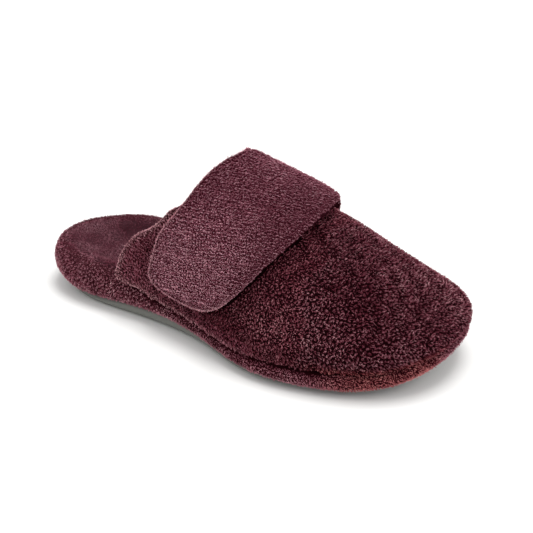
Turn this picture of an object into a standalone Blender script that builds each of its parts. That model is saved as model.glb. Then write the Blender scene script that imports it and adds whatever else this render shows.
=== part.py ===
"""A right-foot closed toe house slipper: outsole, wrapped footbed, insole, upper and wrap strap.

Metres, +Z up. The toe points along +X, the inner side of the foot is +Y and the outer side is -Y.
The origin is on the floor under the middle of the slipper.
"""

from collections import namedtuple
from math import atan2, asin, cos, pi, sin

import bmesh
import bpy

# Driving sizes
LENGTH = 0.266
SEAT_GAP = 0.0003
UPPER_WALL = 0.0042
STRAP_THICKNESS = 0.0056
INSOLE_THICKNESS = 0.0030
ARCH_LIFT = 0.0012
TOE_SPRING = 0.0100

# Stations, heel 0 to toe 1, between which the outsole leaves the floor
ARCH_START = 0.26
ARCH_END = 0.56
TOE_SPRING_START = 0.74

# Distances in from the slipper's widest outline
UPPER_INSET = 0.0026
BED_INSET = 0.0092

# The outsole's wall stands out past its own top and bottom edges between two shares of its height
OUTSOLE_WALL_PROUD = 0.0008
OUTSOLE_TREAD_INSET = 0.0012
OUTSOLE_WALL = (0.25, 0.75)

# Roundness of the outline's two ends: share of the length, and the power of the curve
HEEL_CAP = 0.15
HEEL_CAP_POWER = 2.2
TOE_CAP = 0.18
TOE_CAP_POWER = 2.2
NOSE_CAP = 0.10
NOSE_CAP_POWER = 2.2

# The padded upper bulges over its seam up to this height
PUFF_HEIGHT = 0.026

# The strap's loose end: how much of the turn over the foot each rounded corner takes, and its curve's power
STRAP_REAR_CORNER = 0.065
STRAP_FRONT_CORNER = 0.090
STRAP_CORNER_POWER = 3.0

# Mesh fineness
AROUND = 64
UPPER_LENGTHWISE = 22
UPPER_ACROSS = 36
STRAP_LENGTHWISE = 30
STRAP_ACROSS = 12
MERGE_DISTANCE = 1e-6
SHARP_ANGLE = pi / 4

# Plan of the widest outline, heel (station 0) to toe (station 1)
Plan = namedtuple("Plan", "station centre half_width")
PLAN = [
    Plan(0.00, 0.0000, 0.0330),
    Plan(0.16, -0.0012, 0.0330),
    Plan(0.30, -0.0020, 0.0328),
    Plan(0.45, -0.0030, 0.0380),
    Plan(0.62, -0.0062, 0.0505),
    Plan(0.75, -0.0015, 0.0535),
    Plan(0.90, 0.0055, 0.0490),
    Plan(1.00, 0.0100, 0.0445),
]

# Round the footbed's edge: height of its underside and of its two rims, and how far its foot tucks in
Edge = namedtuple("Edge", "station underside outer_rim inner_rim tuck")
EDGE = [
    Edge(0.00, 0.0060, 0.0300, 0.0300, 0.0090),
    Edge(0.12, 0.0042, 0.0295, 0.0325, 0.0062),
    Edge(0.20, 0.0056, 0.0280, 0.0335, 0.0042),
    Edge(0.35, 0.0082, 0.0170, 0.0280, 0.0035),
    Edge(0.55, 0.0046, 0.0128, 0.0170, 0.0045),
    Edge(0.75, 0.0026, 0.0128, 0.0140, 0.0055),
    Edge(0.90, 0.0047, 0.0145, 0.0150, 0.0070),
    Edge(1.00, 0.0135, 0.0220, 0.0220, 0.0085),
]

# Height of the foam under the insole along the middle of the foot
Bed = namedtuple("Bed", "station floor edge_drop")
BED = [
    Bed(0.00, 0.0200, 0.0040),
    Bed(0.15, 0.0175, 0.0040),
    Bed(0.30, 0.0145, 0.0020),
    Bed(0.50, 0.0118, 0.0005),
    Bed(0.75, 0.0110, 0.0000),
    Bed(1.00, 0.0195, 0.0000),
]

# Top line of the upper: side shift, height, power of the cross-section, and bulge over the seam
Ridge = namedtuple("Ridge", "station shift height power puff")
RIDGE = [
    Ridge(0.20, 0.0095, 0.1120, 1.50, 0.0000),
    Ridge(0.45, 0.0095, 0.0985, 1.60, 0.0010),
    Ridge(0.65, 0.0085, 0.0810, 2.05, 0.0020),
    Ridge(0.80, 0.0105, 0.0625, 2.40, 0.0030),
    Ridge(0.92, 0.0125, 0.0430, 2.50, 0.0050),
    Ridge(1.00, 0.0130, 0.0330, 2.50, 0.0070),
]

# Rear edge of the upper, from its outer bottom corner (turn 0) over the instep to its inner one
Collar = namedtuple("Collar", "turn station")
COLLAR = [
    Collar(0.00, 0.226),
    Collar(0.08, 0.238),
    Collar(0.17, 0.300),
    Collar(0.26, 0.376),
    Collar(0.50, 0.505),
    Collar(0.74, 0.395),
    Collar(0.88, 0.265),
    Collar(1.00, 0.226),
]

# Middle line and width of the strap, loose outer end to sewn inner end, and its lift off the upper
Band = namedtuple("Band", "turn station width lift")
BAND = [
    Band(0.060, 0.420, 0.0540, 0.0006),
    Band(0.195, 0.492, 0.0625, 0.0010),
    Band(0.330, 0.547, 0.0640, 0.0028),
    Band(0.420, 0.573, 0.0595, 0.0045),
    Band(0.510, 0.584, 0.0560, 0.0047),
    Band(0.640, 0.560, 0.0570, 0.0030),
    Band(0.960, 0.500, 0.0550, 0.0006),
]

# Rings of the footbed's wall, bottom edge to rim: share of the tuck, distance in, share of the height
Ring = namedtuple("Ring", "tuck_share inset rise")
FOOTBED_WALL = [
    Ring(1.00, 0.0000, 0.00),
    Ring(0.45, 0.0000, 0.10),
    Ring(0.14, 0.0000, 0.28),
    Ring(0.00, 0.0000, 0.52),
    Ring(0.00, 0.0008, 0.76),
    Ring(0.00, 0.0026, 0.93),
    Ring(0.00, 0.0050, 1.00),
    Ring(0.00, 0.0076, 0.99),
]

# Shares of the way from the middle of the foot to its edge, for flat rings
FLAT_RINGS = [0.0, 0.30, 0.60, 0.85, 1.0]
TREAD_RINGS = [0.0, 0.25, 0.45, 0.60, 0.75, 0.88, 1.0]
CUP_POWER = 3.0

# Colour and roughness of each sub-part
Finish = namedtuple("Finish", "colour roughness")
FINISHES = {
    "outsole": Finish((0.127, 0.141, 0.122), 0.75),
    "footbed": Finish((0.080, 0.025, 0.033), 0.95),
    "insole": Finish((0.119, 0.047, 0.060), 0.95),
    "upper": Finish((0.060, 0.017, 0.023), 0.95),
    "strap": Finish((0.136, 0.048, 0.065), 0.95),
}


def along(rows, column, station):
    """Smooth curve through one column of a table whose first column is the place along it."""
    last = len(rows) - 1
    start = max(0, min(last - 1, sum(row[0] <= station for row in rows) - 1))
    here, there = rows[start], rows[start + 1]
    span = there[0] - here[0]
    share = min(1.0, max(0.0, (station - here[0]) / span))

    def slope(index):
        before, after = rows[max(0, index - 1)], rows[min(last, index + 1)]
        return (getattr(after, column) - getattr(before, column)) / (after[0] - before[0]) * span

    low, high = getattr(here, column), getattr(there, column)
    squared, cubed = share**2, share**3
    return (
        low * (2 * cubed - 3 * squared + 1)
        + slope(start) * (cubed - 2 * squared + share)
        + high * (3 * squared - 2 * cubed)
        + slope(start + 1) * (cubed - squared)
    )


def end_round(station, heel, heel_power, toe, toe_power):
    """Factor that closes a width or height smoothly to nothing at the slipper's ends."""
    factor = 1.0
    if station < heel:
        factor = max(0.0, 1 - (1 - station / heel) ** heel_power) ** (1 / heel_power)
    if station > 1 - toe:
        factor = max(0.0, 1 - ((station - 1 + toe) / toe) ** toe_power) ** (1 / toe_power)
    return factor


def plan_round(station):
    """End rounding of the outline seen from above."""
    return end_round(station, HEEL_CAP, HEEL_CAP_POWER, TOE_CAP, TOE_CAP_POWER)


def lengthwise(station, inset=0.0):
    """X of a station on the outline drawn in by inset."""
    return (station - 0.5) * (LENGTH - 2 * inset)


def station_at(angle):
    """Station of the outline at an angle round it; angle 0 is the toe and pi the heel."""
    return 0.5 * (1 + cos(angle))


def outline(angle, inset):
    """Station, side and plan point of the outline drawn in by inset."""
    station = station_at(angle)
    side = 1 if sin(angle) >= 0 else -1
    half = (along(PLAN, "half_width", station) - inset) * plan_round(station)
    return station, side, lengthwise(station, inset), along(PLAN, "centre", station) + side * half


def tuck(angle):
    """How far the foot of the footbed's wall tucks in under its widest outline."""
    return along(EDGE, "tuck", station_at(angle))


def rim(station, side):
    """Height of the footbed's rim; both sides have one height at the toe and at the heel."""
    outer = along(EDGE, "outer_rim", station)
    inner = along(EDGE, "inner_rim", station)
    return outer if side < 0 else inner


def sole_line(x):
    """Height of the outsole's underside: flat at heel and ball, lifted at the arch, sprung at the toe."""
    station = x / LENGTH + 0.5
    arch_share = min(1.0, max(0.0, (station - ARCH_START) / (ARCH_END - ARCH_START)))
    spring = max(0.0, (station - TOE_SPRING_START) / (1 - TOE_SPRING_START))
    return ARCH_LIFT * sin(pi * arch_share) + TOE_SPRING * spring**2


def underside(x):
    """Height of the wrapped footbed's underside, where the outsole is bonded on."""
    return along(EDGE, "underside", min(1.0, max(0.0, x / LENGTH + 0.5)))


def toward_edge(x, y, share):
    """The plan point at a share of the way from the middle of the outline to its edge point (x, y)."""
    middle_y = along(PLAN, "centre", 0.5)
    return x * share, middle_y + (y - middle_y) * share


def bed_point(angle, share, inset, lift):
    """A point of the foam bed under the foot, at a share of the way from the middle to its edge."""
    station, side, edge_x, edge_y = outline(angle, inset)
    x, y = toward_edge(edge_x, edge_y, share)
    here = min(1.0, max(0.0, x / LENGTH + 0.5))
    floor = along(BED, "floor", here)
    edge = rim(station, side) - along(BED, "edge_drop", station)
    return x, y, floor + (edge - floor) * share**CUP_POWER + lift


def under_point(angle, share, inset, height):
    """A point of a flat ring under the foot whose height follows a function of x."""
    _, _, edge_x, edge_y = outline(angle, inset)
    x, y = toward_edge(edge_x, edge_y, share)
    return x, y, height(x)


def upper_point(station, turn, swell):
    """A point of the upper; turn runs 0 to 1 over the foot, and swell is the distance out of its face."""
    angle = pi * turn
    side = -1 if turn < 0.5 else 1
    bend = 2 / along(RIDGE, "power", station)
    spread = abs(cos(angle)) ** bend
    rise = max(0.0, sin(angle)) ** bend
    base_z = rim(station, side) + SEAT_GAP
    nose = end_round(station, HEEL_CAP, HEEL_CAP_POWER, NOSE_CAP, NOSE_CAP_POWER)
    climb = (along(RIDGE, "height", station) + swell - base_z) * nose * rise
    bulge = along(RIDGE, "puff", station) * sin(pi * min(1.0, climb / PUFF_HEIGHT))
    inset = UPPER_INSET - swell - bulge
    closing = plan_round(station)
    centre = along(PLAN, "centre", station)
    base_y = centre + side * (along(PLAN, "half_width", station) - inset) * closing
    ridge_y = centre + (along(RIDGE, "shift", station) - centre) * closing
    return lengthwise(station, inset), ridge_y + (base_y - ridge_y) * spread, base_z + climb


def lasted_upper(across, forward, depth):
    """Places a point of the flat upper pattern, each value 0 to 1, on the last."""
    rear = along(COLLAR, "station", across)
    station = 1 - (1 - rear) * (1 - sin(forward * pi / 2))
    return upper_point(station, across, -UPPER_WALL * depth)


def wrapped_strap(length_share, width_share, depth):
    """Places a point of the flat strap pattern on the upper; length share 0 is the loose end."""
    across = sin(pi * (width_share - 0.5))
    corner = STRAP_REAR_CORNER if across < 0 else STRAP_FRONT_CORNER
    rounding = 1 - max(0.0, 1 - abs(across) ** STRAP_CORNER_POWER) ** (1 / STRAP_CORNER_POWER)
    loose_end = BAND[0].turn + corner * rounding
    turn = loose_end + (BAND[-1].turn - loose_end) * length_share
    station = along(BAND, "station", turn) + across * along(BAND, "width", turn) / (2 * LENGTH)
    return upper_point(station, turn, along(BAND, "lift", turn) + STRAP_THICKNESS * (1 - depth))


def finish_material(name):
    """The surface finish of one sub-part."""
    finish = FINISHES[name]
    material = bpy.data.materials.new(name)
    material.use_nodes = True
    shader = material.node_tree.nodes["Principled BSDF"]
    shader.inputs["Base Color"].default_value = (*finish.colour, 1.0)
    shader.inputs["Roughness"].default_value = finish.roughness
    shader.inputs["Metallic"].default_value = 0.0
    return material


def add_object(name, builder, collection, parent):
    """Turns a finished bmesh into a named, smooth-shaded object with its own material."""
    bmesh.ops.remove_doubles(builder, verts=builder.verts, dist=MERGE_DISTANCE)
    bmesh.ops.triangulate(builder, faces=builder.faces)
    bmesh.ops.recalc_face_normals(builder, faces=builder.faces)
    mesh = bpy.data.meshes.new(name)
    builder.to_mesh(mesh)
    builder.free()
    mesh.shade_smooth()
    mesh.set_sharp_from_angle(angle=SHARP_ANGLE)
    mesh.materials.append(finish_material(name))
    part = bpy.data.objects.new(name, mesh)
    part.parent = parent
    collection.objects.link(part)
    return part


def ringed_solid(rings):
    """A closed solid from a ball: each of its rings, bottom to top, is placed by a function of its angle."""
    builder = bmesh.new()
    bmesh.ops.create_uvsphere(builder, u_segments=AROUND, v_segments=len(rings) - 1, radius=1.0)
    for vertex in builder.verts:
        latitude = asin(max(-1.0, min(1.0, vertex.co.z)))
        row = round((latitude / pi + 0.5) * (len(rings) - 1))
        vertex.co = rings[row](atan2(vertex.co.y, vertex.co.x))
    return builder


def flat_pattern(across, forward, place):
    """A flat sheet with a thickness, cut to a grid and then bent into shape by place."""
    builder = bmesh.new()
    bmesh.ops.create_grid(builder, x_segments=across, y_segments=forward, size=1.0)
    bmesh.ops.solidify(builder, geom=builder.faces[:], thickness=1.0)
    lowest = min(vertex.co.z for vertex in builder.verts)
    highest = max(vertex.co.z for vertex in builder.verts)
    for vertex in builder.verts:
        depth = (highest - vertex.co.z) / (highest - lowest)
        vertex.co = place((vertex.co.x + 1) / 2, (vertex.co.y + 1) / 2, depth)
    return builder


def make_outsole():
    """The grey rubber sole: flat rings below, a short wall, flat rings above against the footbed."""

    def top(x):
        return underside(x) - SEAT_GAP

    def tread_ring(share):
        return lambda angle: under_point(angle, share, tuck(angle) + OUTSOLE_TREAD_INSET, sole_line)

    def wall_ring(rise):
        def place(angle):
            x, y, high = under_point(angle, 1.0, tuck(angle) - OUTSOLE_WALL_PROUD, top)
            return x, y, sole_line(x) + (high - sole_line(x)) * rise

        return place

    def top_ring(share):
        return lambda angle: under_point(angle, share, tuck(angle), top)

    below = [tread_ring(share) for share in TREAD_RINGS]
    walls = [wall_ring(rise) for rise in OUTSOLE_WALL]
    above = [top_ring(share) for share in reversed(FLAT_RINGS)]
    return ringed_solid(below + walls + above)


def make_footbed():
    """The cloth-wrapped foam: flat rings below, the rounded wall and rim, then the cupped bed."""

    def under_ring(share):
        return lambda angle: under_point(angle, share, tuck(angle), underside)

    def wall_ring(ring):
        def place(angle):
            station, side, x, y = outline(angle, ring.inset + ring.tuck_share * tuck(angle))
            low = underside(x)
            return x, y, low + (rim(station, side) - low) * ring.rise

        return place

    below = [under_ring(share) for share in FLAT_RINGS[:-1]]
    walls = [wall_ring(ring) for ring in FOOTBED_WALL]
    above = [bed_ring(share, 0.0) for share in reversed(FLAT_RINGS)]
    return ringed_solid(below + walls + above)


def bed_ring(share, lift):
    """One ring of the foot bed, at a share of the way to its edge and lifted off the foam."""
    return lambda angle: bed_point(angle, share, BED_INSET, lift)


def make_insole():
    """The fleece top pad, lying in the bed of the footbed."""
    below = [bed_ring(share, SEAT_GAP) for share in FLAT_RINGS]
    above = [bed_ring(share, SEAT_GAP + INSOLE_THICKNESS) for share in reversed(FLAT_RINGS)]
    return ringed_solid(below + above)


def centre_on_origin(parts, origin):
    """Moves the parent empty so that the slipper stands with the middle of its box over the origin."""
    corners = [vertex.co for part in parts for vertex in part.data.vertices]
    low = [min(corner[axis] for corner in corners) for axis in range(3)]
    high = [max(corner[axis] for corner in corners) for axis in range(3)]
    origin.location = (-(low[0] + high[0]) / 2, -(low[1] + high[1]) / 2, -low[2])


def main():
    """Clears the scene and builds the five sub-parts."""
    for old in list(bpy.data.objects):
        bpy.data.objects.remove(old)
    slipper = bpy.data.collections.new("slipper")
    bpy.context.scene.collection.children.link(slipper)
    origin = bpy.data.objects.new("slipper_origin", None)
    slipper.objects.link(origin)
    builders = {
        "outsole": make_outsole(),
        "footbed": make_footbed(),
        "insole": make_insole(),
        "upper": flat_pattern(UPPER_ACROSS, UPPER_LENGTHWISE, lasted_upper),
        "strap": flat_pattern(STRAP_LENGTHWISE, STRAP_ACROSS, wrapped_strap),
    }
    parts = [add_object(name, builder, slipper, origin) for name, builder in builders.items()]
    centre_on_origin(parts, origin)


main()
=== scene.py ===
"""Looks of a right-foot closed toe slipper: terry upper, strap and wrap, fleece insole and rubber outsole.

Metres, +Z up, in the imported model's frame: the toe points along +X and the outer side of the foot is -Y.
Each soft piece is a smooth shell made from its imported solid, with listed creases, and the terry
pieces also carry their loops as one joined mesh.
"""

import logging
from dataclasses import dataclass, field
from enum import Enum
from math import ceil, cos, pi, radians, sin, sqrt
from typing import ClassVar

import bmesh
import bpy
import numpy as np
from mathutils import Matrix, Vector
from mathutils.bvhtree import BVHTree
from mathutils.kdtree import KDTree


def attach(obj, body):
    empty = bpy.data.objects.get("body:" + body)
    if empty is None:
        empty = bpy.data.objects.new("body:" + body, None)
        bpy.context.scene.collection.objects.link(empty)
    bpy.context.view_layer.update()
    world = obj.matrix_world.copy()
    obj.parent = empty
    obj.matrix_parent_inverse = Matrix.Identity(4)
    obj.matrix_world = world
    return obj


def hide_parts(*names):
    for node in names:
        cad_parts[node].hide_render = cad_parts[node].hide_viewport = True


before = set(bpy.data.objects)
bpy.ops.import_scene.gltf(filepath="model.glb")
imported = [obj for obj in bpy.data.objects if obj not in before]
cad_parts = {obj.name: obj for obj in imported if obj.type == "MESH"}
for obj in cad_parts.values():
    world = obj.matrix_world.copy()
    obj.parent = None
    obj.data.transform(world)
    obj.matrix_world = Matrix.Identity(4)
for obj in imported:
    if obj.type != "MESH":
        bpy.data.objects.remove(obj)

LOG = logging.getLogger("slipper")
BODY = "root"
BAKE_MAP = "OFBake"
MERGE_DISTANCE = 1e-5
TINY = 1e-12
ON_PLAN = np.array([1.0, 1.0, 0.0])
Colour = tuple[float, float, float]
Place = tuple[float, float, float]


class Attr(Enum):
    """Values that the meshes carry for their finishes."""

    # Share from root to tip: the dark root is painted shade deep in the pile.
    TIP = "tip"
    TONE = "tone"
    RIM = "rim"
    # Reddish fade on the upper and footbed, and painted shade on the strap's front and top.
    WARM_AND_SHADE = "warm_and_shade"
    FLEECE = "fleece"


class Nap(Enum):
    """Which way the loops of a terry piece lie, as a direction over the slipper."""

    ALONG = (1.0, 0.0, 0.1)
    TO_TOE = (1.0, 0.0, -0.2)
    SLANT = (1.0, 0.0, -0.6)
    DOWN = (0.2, 0.0, -1.0)
    TO_HEEL = (-1.0, 0.0, 0.2)


# Small helpers


@dataclass(frozen=True)
class Ramp:
    """A smooth change between two values.

    Attributes:
        low: Value where the change starts.
        high: Value where it is complete; it may be below low.
    """

    low: float
    high: float

    def of(self, values: np.ndarray) -> np.ndarray:
        """Grades values.

        Args:
            values: The values to grade.

        Returns:
            One number for each value, rising smoothly from 0 at low to 1 at high.
        """
        share = np.clip((values - self.low) / (self.high - self.low), 0.0, 1.0)
        return share * share * (3 - 2 * share)


@dataclass(frozen=True)
class Ripple:
    """A smooth uneven field over space, from a few plane waves.

    Attributes:
        depth: How strong the field is.
        wavelength: Mean distance from crest to crest.
        seed: Start of the fixed random directions.
    """

    WAVES: ClassVar[int] = 9
    STRETCH: ClassVar[tuple[float, float]] = (0.7, 1.4)

    depth: float
    wavelength: float
    seed: int

    def at(self, points: np.ndarray) -> np.ndarray:
        """The field's values.

        Args:
            points: Places, one a row.

        Returns:
            One number for each point, mostly from -depth to depth.
        """
        draw = np.random.default_rng(self.seed)
        ways = draw.normal(size=(self.WAVES, 3))
        ways /= np.linalg.norm(ways, axis=1, keepdims=True)
        stretch = draw.uniform(*self.STRETCH, self.WAVES)
        phases = draw.uniform(0, 2 * pi, self.WAVES)
        turns = points @ (ways * (stretch / self.wavelength * 2 * pi)[:, None]).T + phases
        return self.depth * (np.sin(turns).sum(axis=1) / sqrt(self.WAVES))


def unit(vectors: np.ndarray) -> np.ndarray:
    """Each row scaled to length 1."""
    return vectors / np.maximum(np.linalg.norm(vectors, axis=1, keepdims=True), TINY)


def read_points(mesh: bpy.types.Mesh) -> np.ndarray:
    """The mesh's vertices, one a row."""
    flat = np.empty(len(mesh.vertices) * 3, np.float32)
    mesh.vertices.foreach_get("co", flat)
    return flat.reshape(-1, 3).astype(float)


def read_normals(mesh: bpy.types.Mesh) -> np.ndarray:
    """The mesh's vertex normals, one a row."""
    flat = np.empty(len(mesh.vertices) * 3, np.float32)
    mesh.vertex_normals.foreach_get("vector", flat)
    return flat.reshape(-1, 3).astype(float)


def write_points(mesh: bpy.types.Mesh, points: np.ndarray) -> None:
    """Moves the mesh's vertices to these places.

    Args:
        mesh: The mesh to change.
        points: One place for each vertex.
    """
    mesh.vertices.foreach_set("co", points.astype(np.float32).ravel())
    mesh.update()


def write_values(mesh: bpy.types.Mesh, kind: Attr, values: np.ndarray) -> None:
    """Stores one number for each vertex.

    Args:
        mesh: The mesh that carries the numbers.
        kind: Which value they are.
        values: One number for each vertex.
    """
    layer = mesh.attributes.get(kind.value) or mesh.attributes.new(kind.value, "FLOAT", "POINT")
    layer.data.foreach_set("value", values.astype(np.float32))


def link(name: str, mesh: bpy.types.Mesh) -> bpy.types.Object:
    """Puts a mesh into the scene as a named piece.

    Args:
        name: The piece's name.
        mesh: Its mesh.

    Returns:
        The new object.
    """
    piece = bpy.data.objects.new(name, mesh)
    bpy.context.scene.collection.objects.link(piece)
    return piece


def solid_tree(node: str) -> BVHTree:
    """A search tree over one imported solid."""
    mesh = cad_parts[node].data
    return BVHTree.FromPolygons([v.co for v in mesh.vertices], [p.vertices for p in mesh.polygons])


def clearance(tree: BVHTree, points: np.ndarray, reach: float) -> np.ndarray:
    """Distance from each point to a solid.

    Args:
        tree: The solid's search tree.
        points: Places, one a row.
        reach: Distance given to points that lie further off.

    Returns:
        One distance for each point.
    """
    found = (tree.find_nearest(Vector(p), reach)[3] for p in points)
    return np.array([reach if d is None else d for d in found])


def covered(tree: BVHTree, points: np.ndarray, normals: np.ndarray, reach: float) -> np.ndarray:
    """Distance along each point's normal to a solid that lies over it.

    Args:
        tree: The solid's search tree.
        points: Places, one a row.
        normals: Way to look from each place.
        reach: Distance given where nothing lies over the point.

    Returns:
        One distance for each point.
    """
    hits = (tree.ray_cast(Vector(p), Vector(n), reach)[3] for p, n in zip(points, normals, strict=True))
    return np.array([reach if d is None else d for d in hits])


def distance_to(marked: np.ndarray, points: np.ndarray) -> np.ndarray:
    """Distance from each point to the nearest marked place.

    Args:
        marked: The marked places, one a row.
        points: Places to measure from.

    Returns:
        One distance for each point.
    """
    tree = KDTree(len(marked))
    for index, place in enumerate(marked):
        tree.insert(place, index)
    tree.balance()
    return np.array([tree.find(p)[2] for p in points])


# Listed shape


@dataclass(frozen=True)
class Crease:
    """A soft trough along a line on the slipper, or a ridge where its depth is below zero.

    Attributes:
        path: Points of the line.
        width: Distance from the line at which most of the trough has faded.
        depth: How deep the trough is at the line.
    """

    path: tuple[Place, ...]
    width: float
    depth: float

    def sink(self, points: np.ndarray) -> np.ndarray:
        """How far each point sinks into the surface.

        Args:
            points: Places, one a row.

        Returns:
            One depth for each point.
        """
        nearest = np.full(len(points), np.inf)
        for start, end in zip(self.path[:-1], self.path[1:], strict=True):
            origin = np.array(start)
            way = np.array(end) - origin
            share = np.clip((points - origin) @ way / (way @ way), 0.0, 1.0)
            gap = np.linalg.norm(points - origin - share[:, None] * way, axis=1)
            nearest = np.minimum(nearest, gap)
        return self.depth * np.exp(-((nearest / self.width) ** 2))


@dataclass(frozen=True)
class Push:
    """A soft move of the surface round one place.

    Attributes:
        middle: Where the move is full.
        reach: How far it carries along each axis.
        move: The full move.
    """

    middle: Place
    reach: Place
    move: Place

    def shift(self, points: np.ndarray) -> np.ndarray:
        """How far each point moves.

        Args:
            points: Places, one a row.

        Returns:
            One move for each point.
        """
        away = (points - np.array(self.middle)) / np.array(self.reach)
        return np.exp(-(away**2).sum(axis=1))[:, None] * np.array(self.move)


@dataclass(frozen=True)
class FootCore:
    """A line through the foot that tells the outside of a wall from its inside.

    Attributes:
        rear: Where the line begins along the foot.
        front: Where it ends.
        side: Its place across the foot.
        height: Its height above the floor.
    """

    rear: float = -0.070
    front: float = 0.085
    side: float = 0.006
    height: float = 0.030

    def outward(self, points: np.ndarray) -> np.ndarray:
        """Directions from the line to each point.

        Args:
            points: Places, one a row.

        Returns:
            One direction of length 1 for each point.
        """
        middle = np.empty_like(points)
        middle[:, 0] = np.clip(points[:, 0], self.rear, self.front)
        middle[:, 1] = self.side
        middle[:, 2] = self.height
        return unit(points - middle)


@dataclass(frozen=True)
class Shell:
    """The smooth skin of a soft piece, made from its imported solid.

    Attributes:
        name: The piece's name.
        node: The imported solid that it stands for.
        grain: Edge length of its mesh.
        passes: How often the mesh is smoothed.
    """

    LEVELS: ClassVar[int] = 2
    SOFTNESS: ClassVar[float] = 0.5

    name: str
    node: str
    grain: float
    passes: int

    def build(self) -> bpy.types.Object:
        """Makes the skin as a new object.

        Returns:
            The piece, with an even mesh and smooth shading.
        """
        builder = bmesh.new()
        builder.from_mesh(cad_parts[self.node].data)
        bmesh.ops.remove_doubles(builder, verts=builder.verts, dist=MERGE_DISTANCE)
        bmesh.ops.join_triangles(
            builder, faces=builder.faces, angle_face_threshold=pi, angle_shape_threshold=pi
        )
        cage = bpy.data.meshes.new(self.name)
        builder.to_mesh(cage)
        builder.free()
        source = link(self.name, cage)
        finer = source.modifiers.new("finer", "SUBSURF")
        finer.levels = self.LEVELS
        even = source.modifiers.new("even", "REMESH")
        even.mode = "VOXEL"
        even.voxel_size = self.grain
        soft = source.modifiers.new("soft", "SMOOTH")
        soft.factor = self.SOFTNESS
        soft.iterations = self.passes
        seen = source.evaluated_get(bpy.context.evaluated_depsgraph_get())
        mesh = bpy.data.meshes.new_from_object(seen)
        source.modifiers.clear()
        source.data = mesh
        mesh.name = self.name
        mesh.materials.clear()
        mesh.shade_smooth()
        return source


# Finishes


class Nodes:
    """Short ways to lay out a material's nodes."""

    LEAST_FACTOR = 0.02
    MOST_FACTOR = 1.7

    def __init__(self, tree: bpy.types.NodeTree) -> None:
        """Keeps the tree that the nodes go into."""
        self.tree = tree

    def add(self, kind: str, **settings: object) -> bpy.types.Node:
        """Adds a node.

        Args:
            kind: The node's type name without its ShaderNode start.
            **settings: Properties to set on it.

        Returns:
            The new node.
        """
        node = self.tree.nodes.new(f"ShaderNode{kind}")
        for name, value in settings.items():
            setattr(node, name, value)
        return node

    def join(self, start: bpy.types.NodeSocket, end: bpy.types.NodeSocket) -> None:
        """Links an output to an input."""
        self.tree.links.new(start, end)

    def value_of(self, kind: Attr) -> bpy.types.NodeSocket:
        """The output that reads one of the mesh's own values."""
        return self.add("Attribute", attribute_name=kind.value).outputs["Fac"]

    def blend(self, share: bpy.types.NodeSocket, low: object, high: object) -> bpy.types.NodeSocket:
        """Mixes two colours.

        Args:
            share: Output that gives the share of the second colour.
            low: First colour, plain or as an output.
            high: Second colour, plain or as an output.

        Returns:
            The output with the mixed colour.
        """
        mix = self.add("Mix", data_type="RGBA")
        self.join(share, mix.inputs["Factor"])
        for name, colour in (("A", low), ("B", high)):
            socket = next(s for s in mix.inputs if s.name == name and s.type == "RGBA")
            if isinstance(colour, bpy.types.NodeSocket):
                self.join(colour, socket)
            else:
                socket.default_value = (*colour, 1.0)
        return next(s for s in mix.outputs if s.type == "RGBA")

    def maths(self, operation: str, *values: object) -> bpy.types.NodeSocket:
        """Works out a number from plain numbers and outputs.

        Args:
            operation: The Math node's operation.
            *values: Its inputs.

        Returns:
            The output with the result.
        """
        node = self.add("Math", operation=operation)
        for socket, value in zip(node.inputs, values, strict=False):
            if isinstance(value, bpy.types.NodeSocket):
                self.join(value, socket)
            else:
                socket.default_value = value
        return node.outputs["Value"]

    def shade(self, colour: bpy.types.NodeSocket, by: bpy.types.NodeSocket) -> bpy.types.NodeSocket:
        """Lightens or darkens a colour.

        Args:
            colour: Output with the colour.
            by: Output with the factor.

        Returns:
            The output with the shaded colour.
        """
        scale = self.add("VectorMath", operation="SCALE")
        self.join(colour, scale.inputs[0])
        self.join(by, scale.inputs["Scale"])
        return scale.outputs["Vector"]

    def fade(self, colour: bpy.types.NodeSocket, by: bpy.types.NodeSocket, powers: Colour
             ) -> bpy.types.NodeSocket:
        """Lightens or darkens a colour with a change of hue, which the pile uses for its painted sheen.

        Args:
            colour: Output with the colour.
            by: Output with the factor.
            powers: Power of the factor on red, green and blue.

        Returns:
            The output with the changed colour.
        """
        within = self.maths("MINIMUM", self.maths("MAXIMUM", by, self.LEAST_FACTOR), self.MOST_FACTOR)
        factors = self.add("CombineXYZ")
        for axis, power in zip("XYZ", powers, strict=True):
            self.join(self.maths("POWER", within, power), factors.inputs[axis])
        product = self.add("VectorMath", operation="MULTIPLY")
        self.join(colour, product.inputs[0])
        self.join(factors.outputs["Vector"], product.inputs[1])
        return product.outputs["Vector"]


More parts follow.
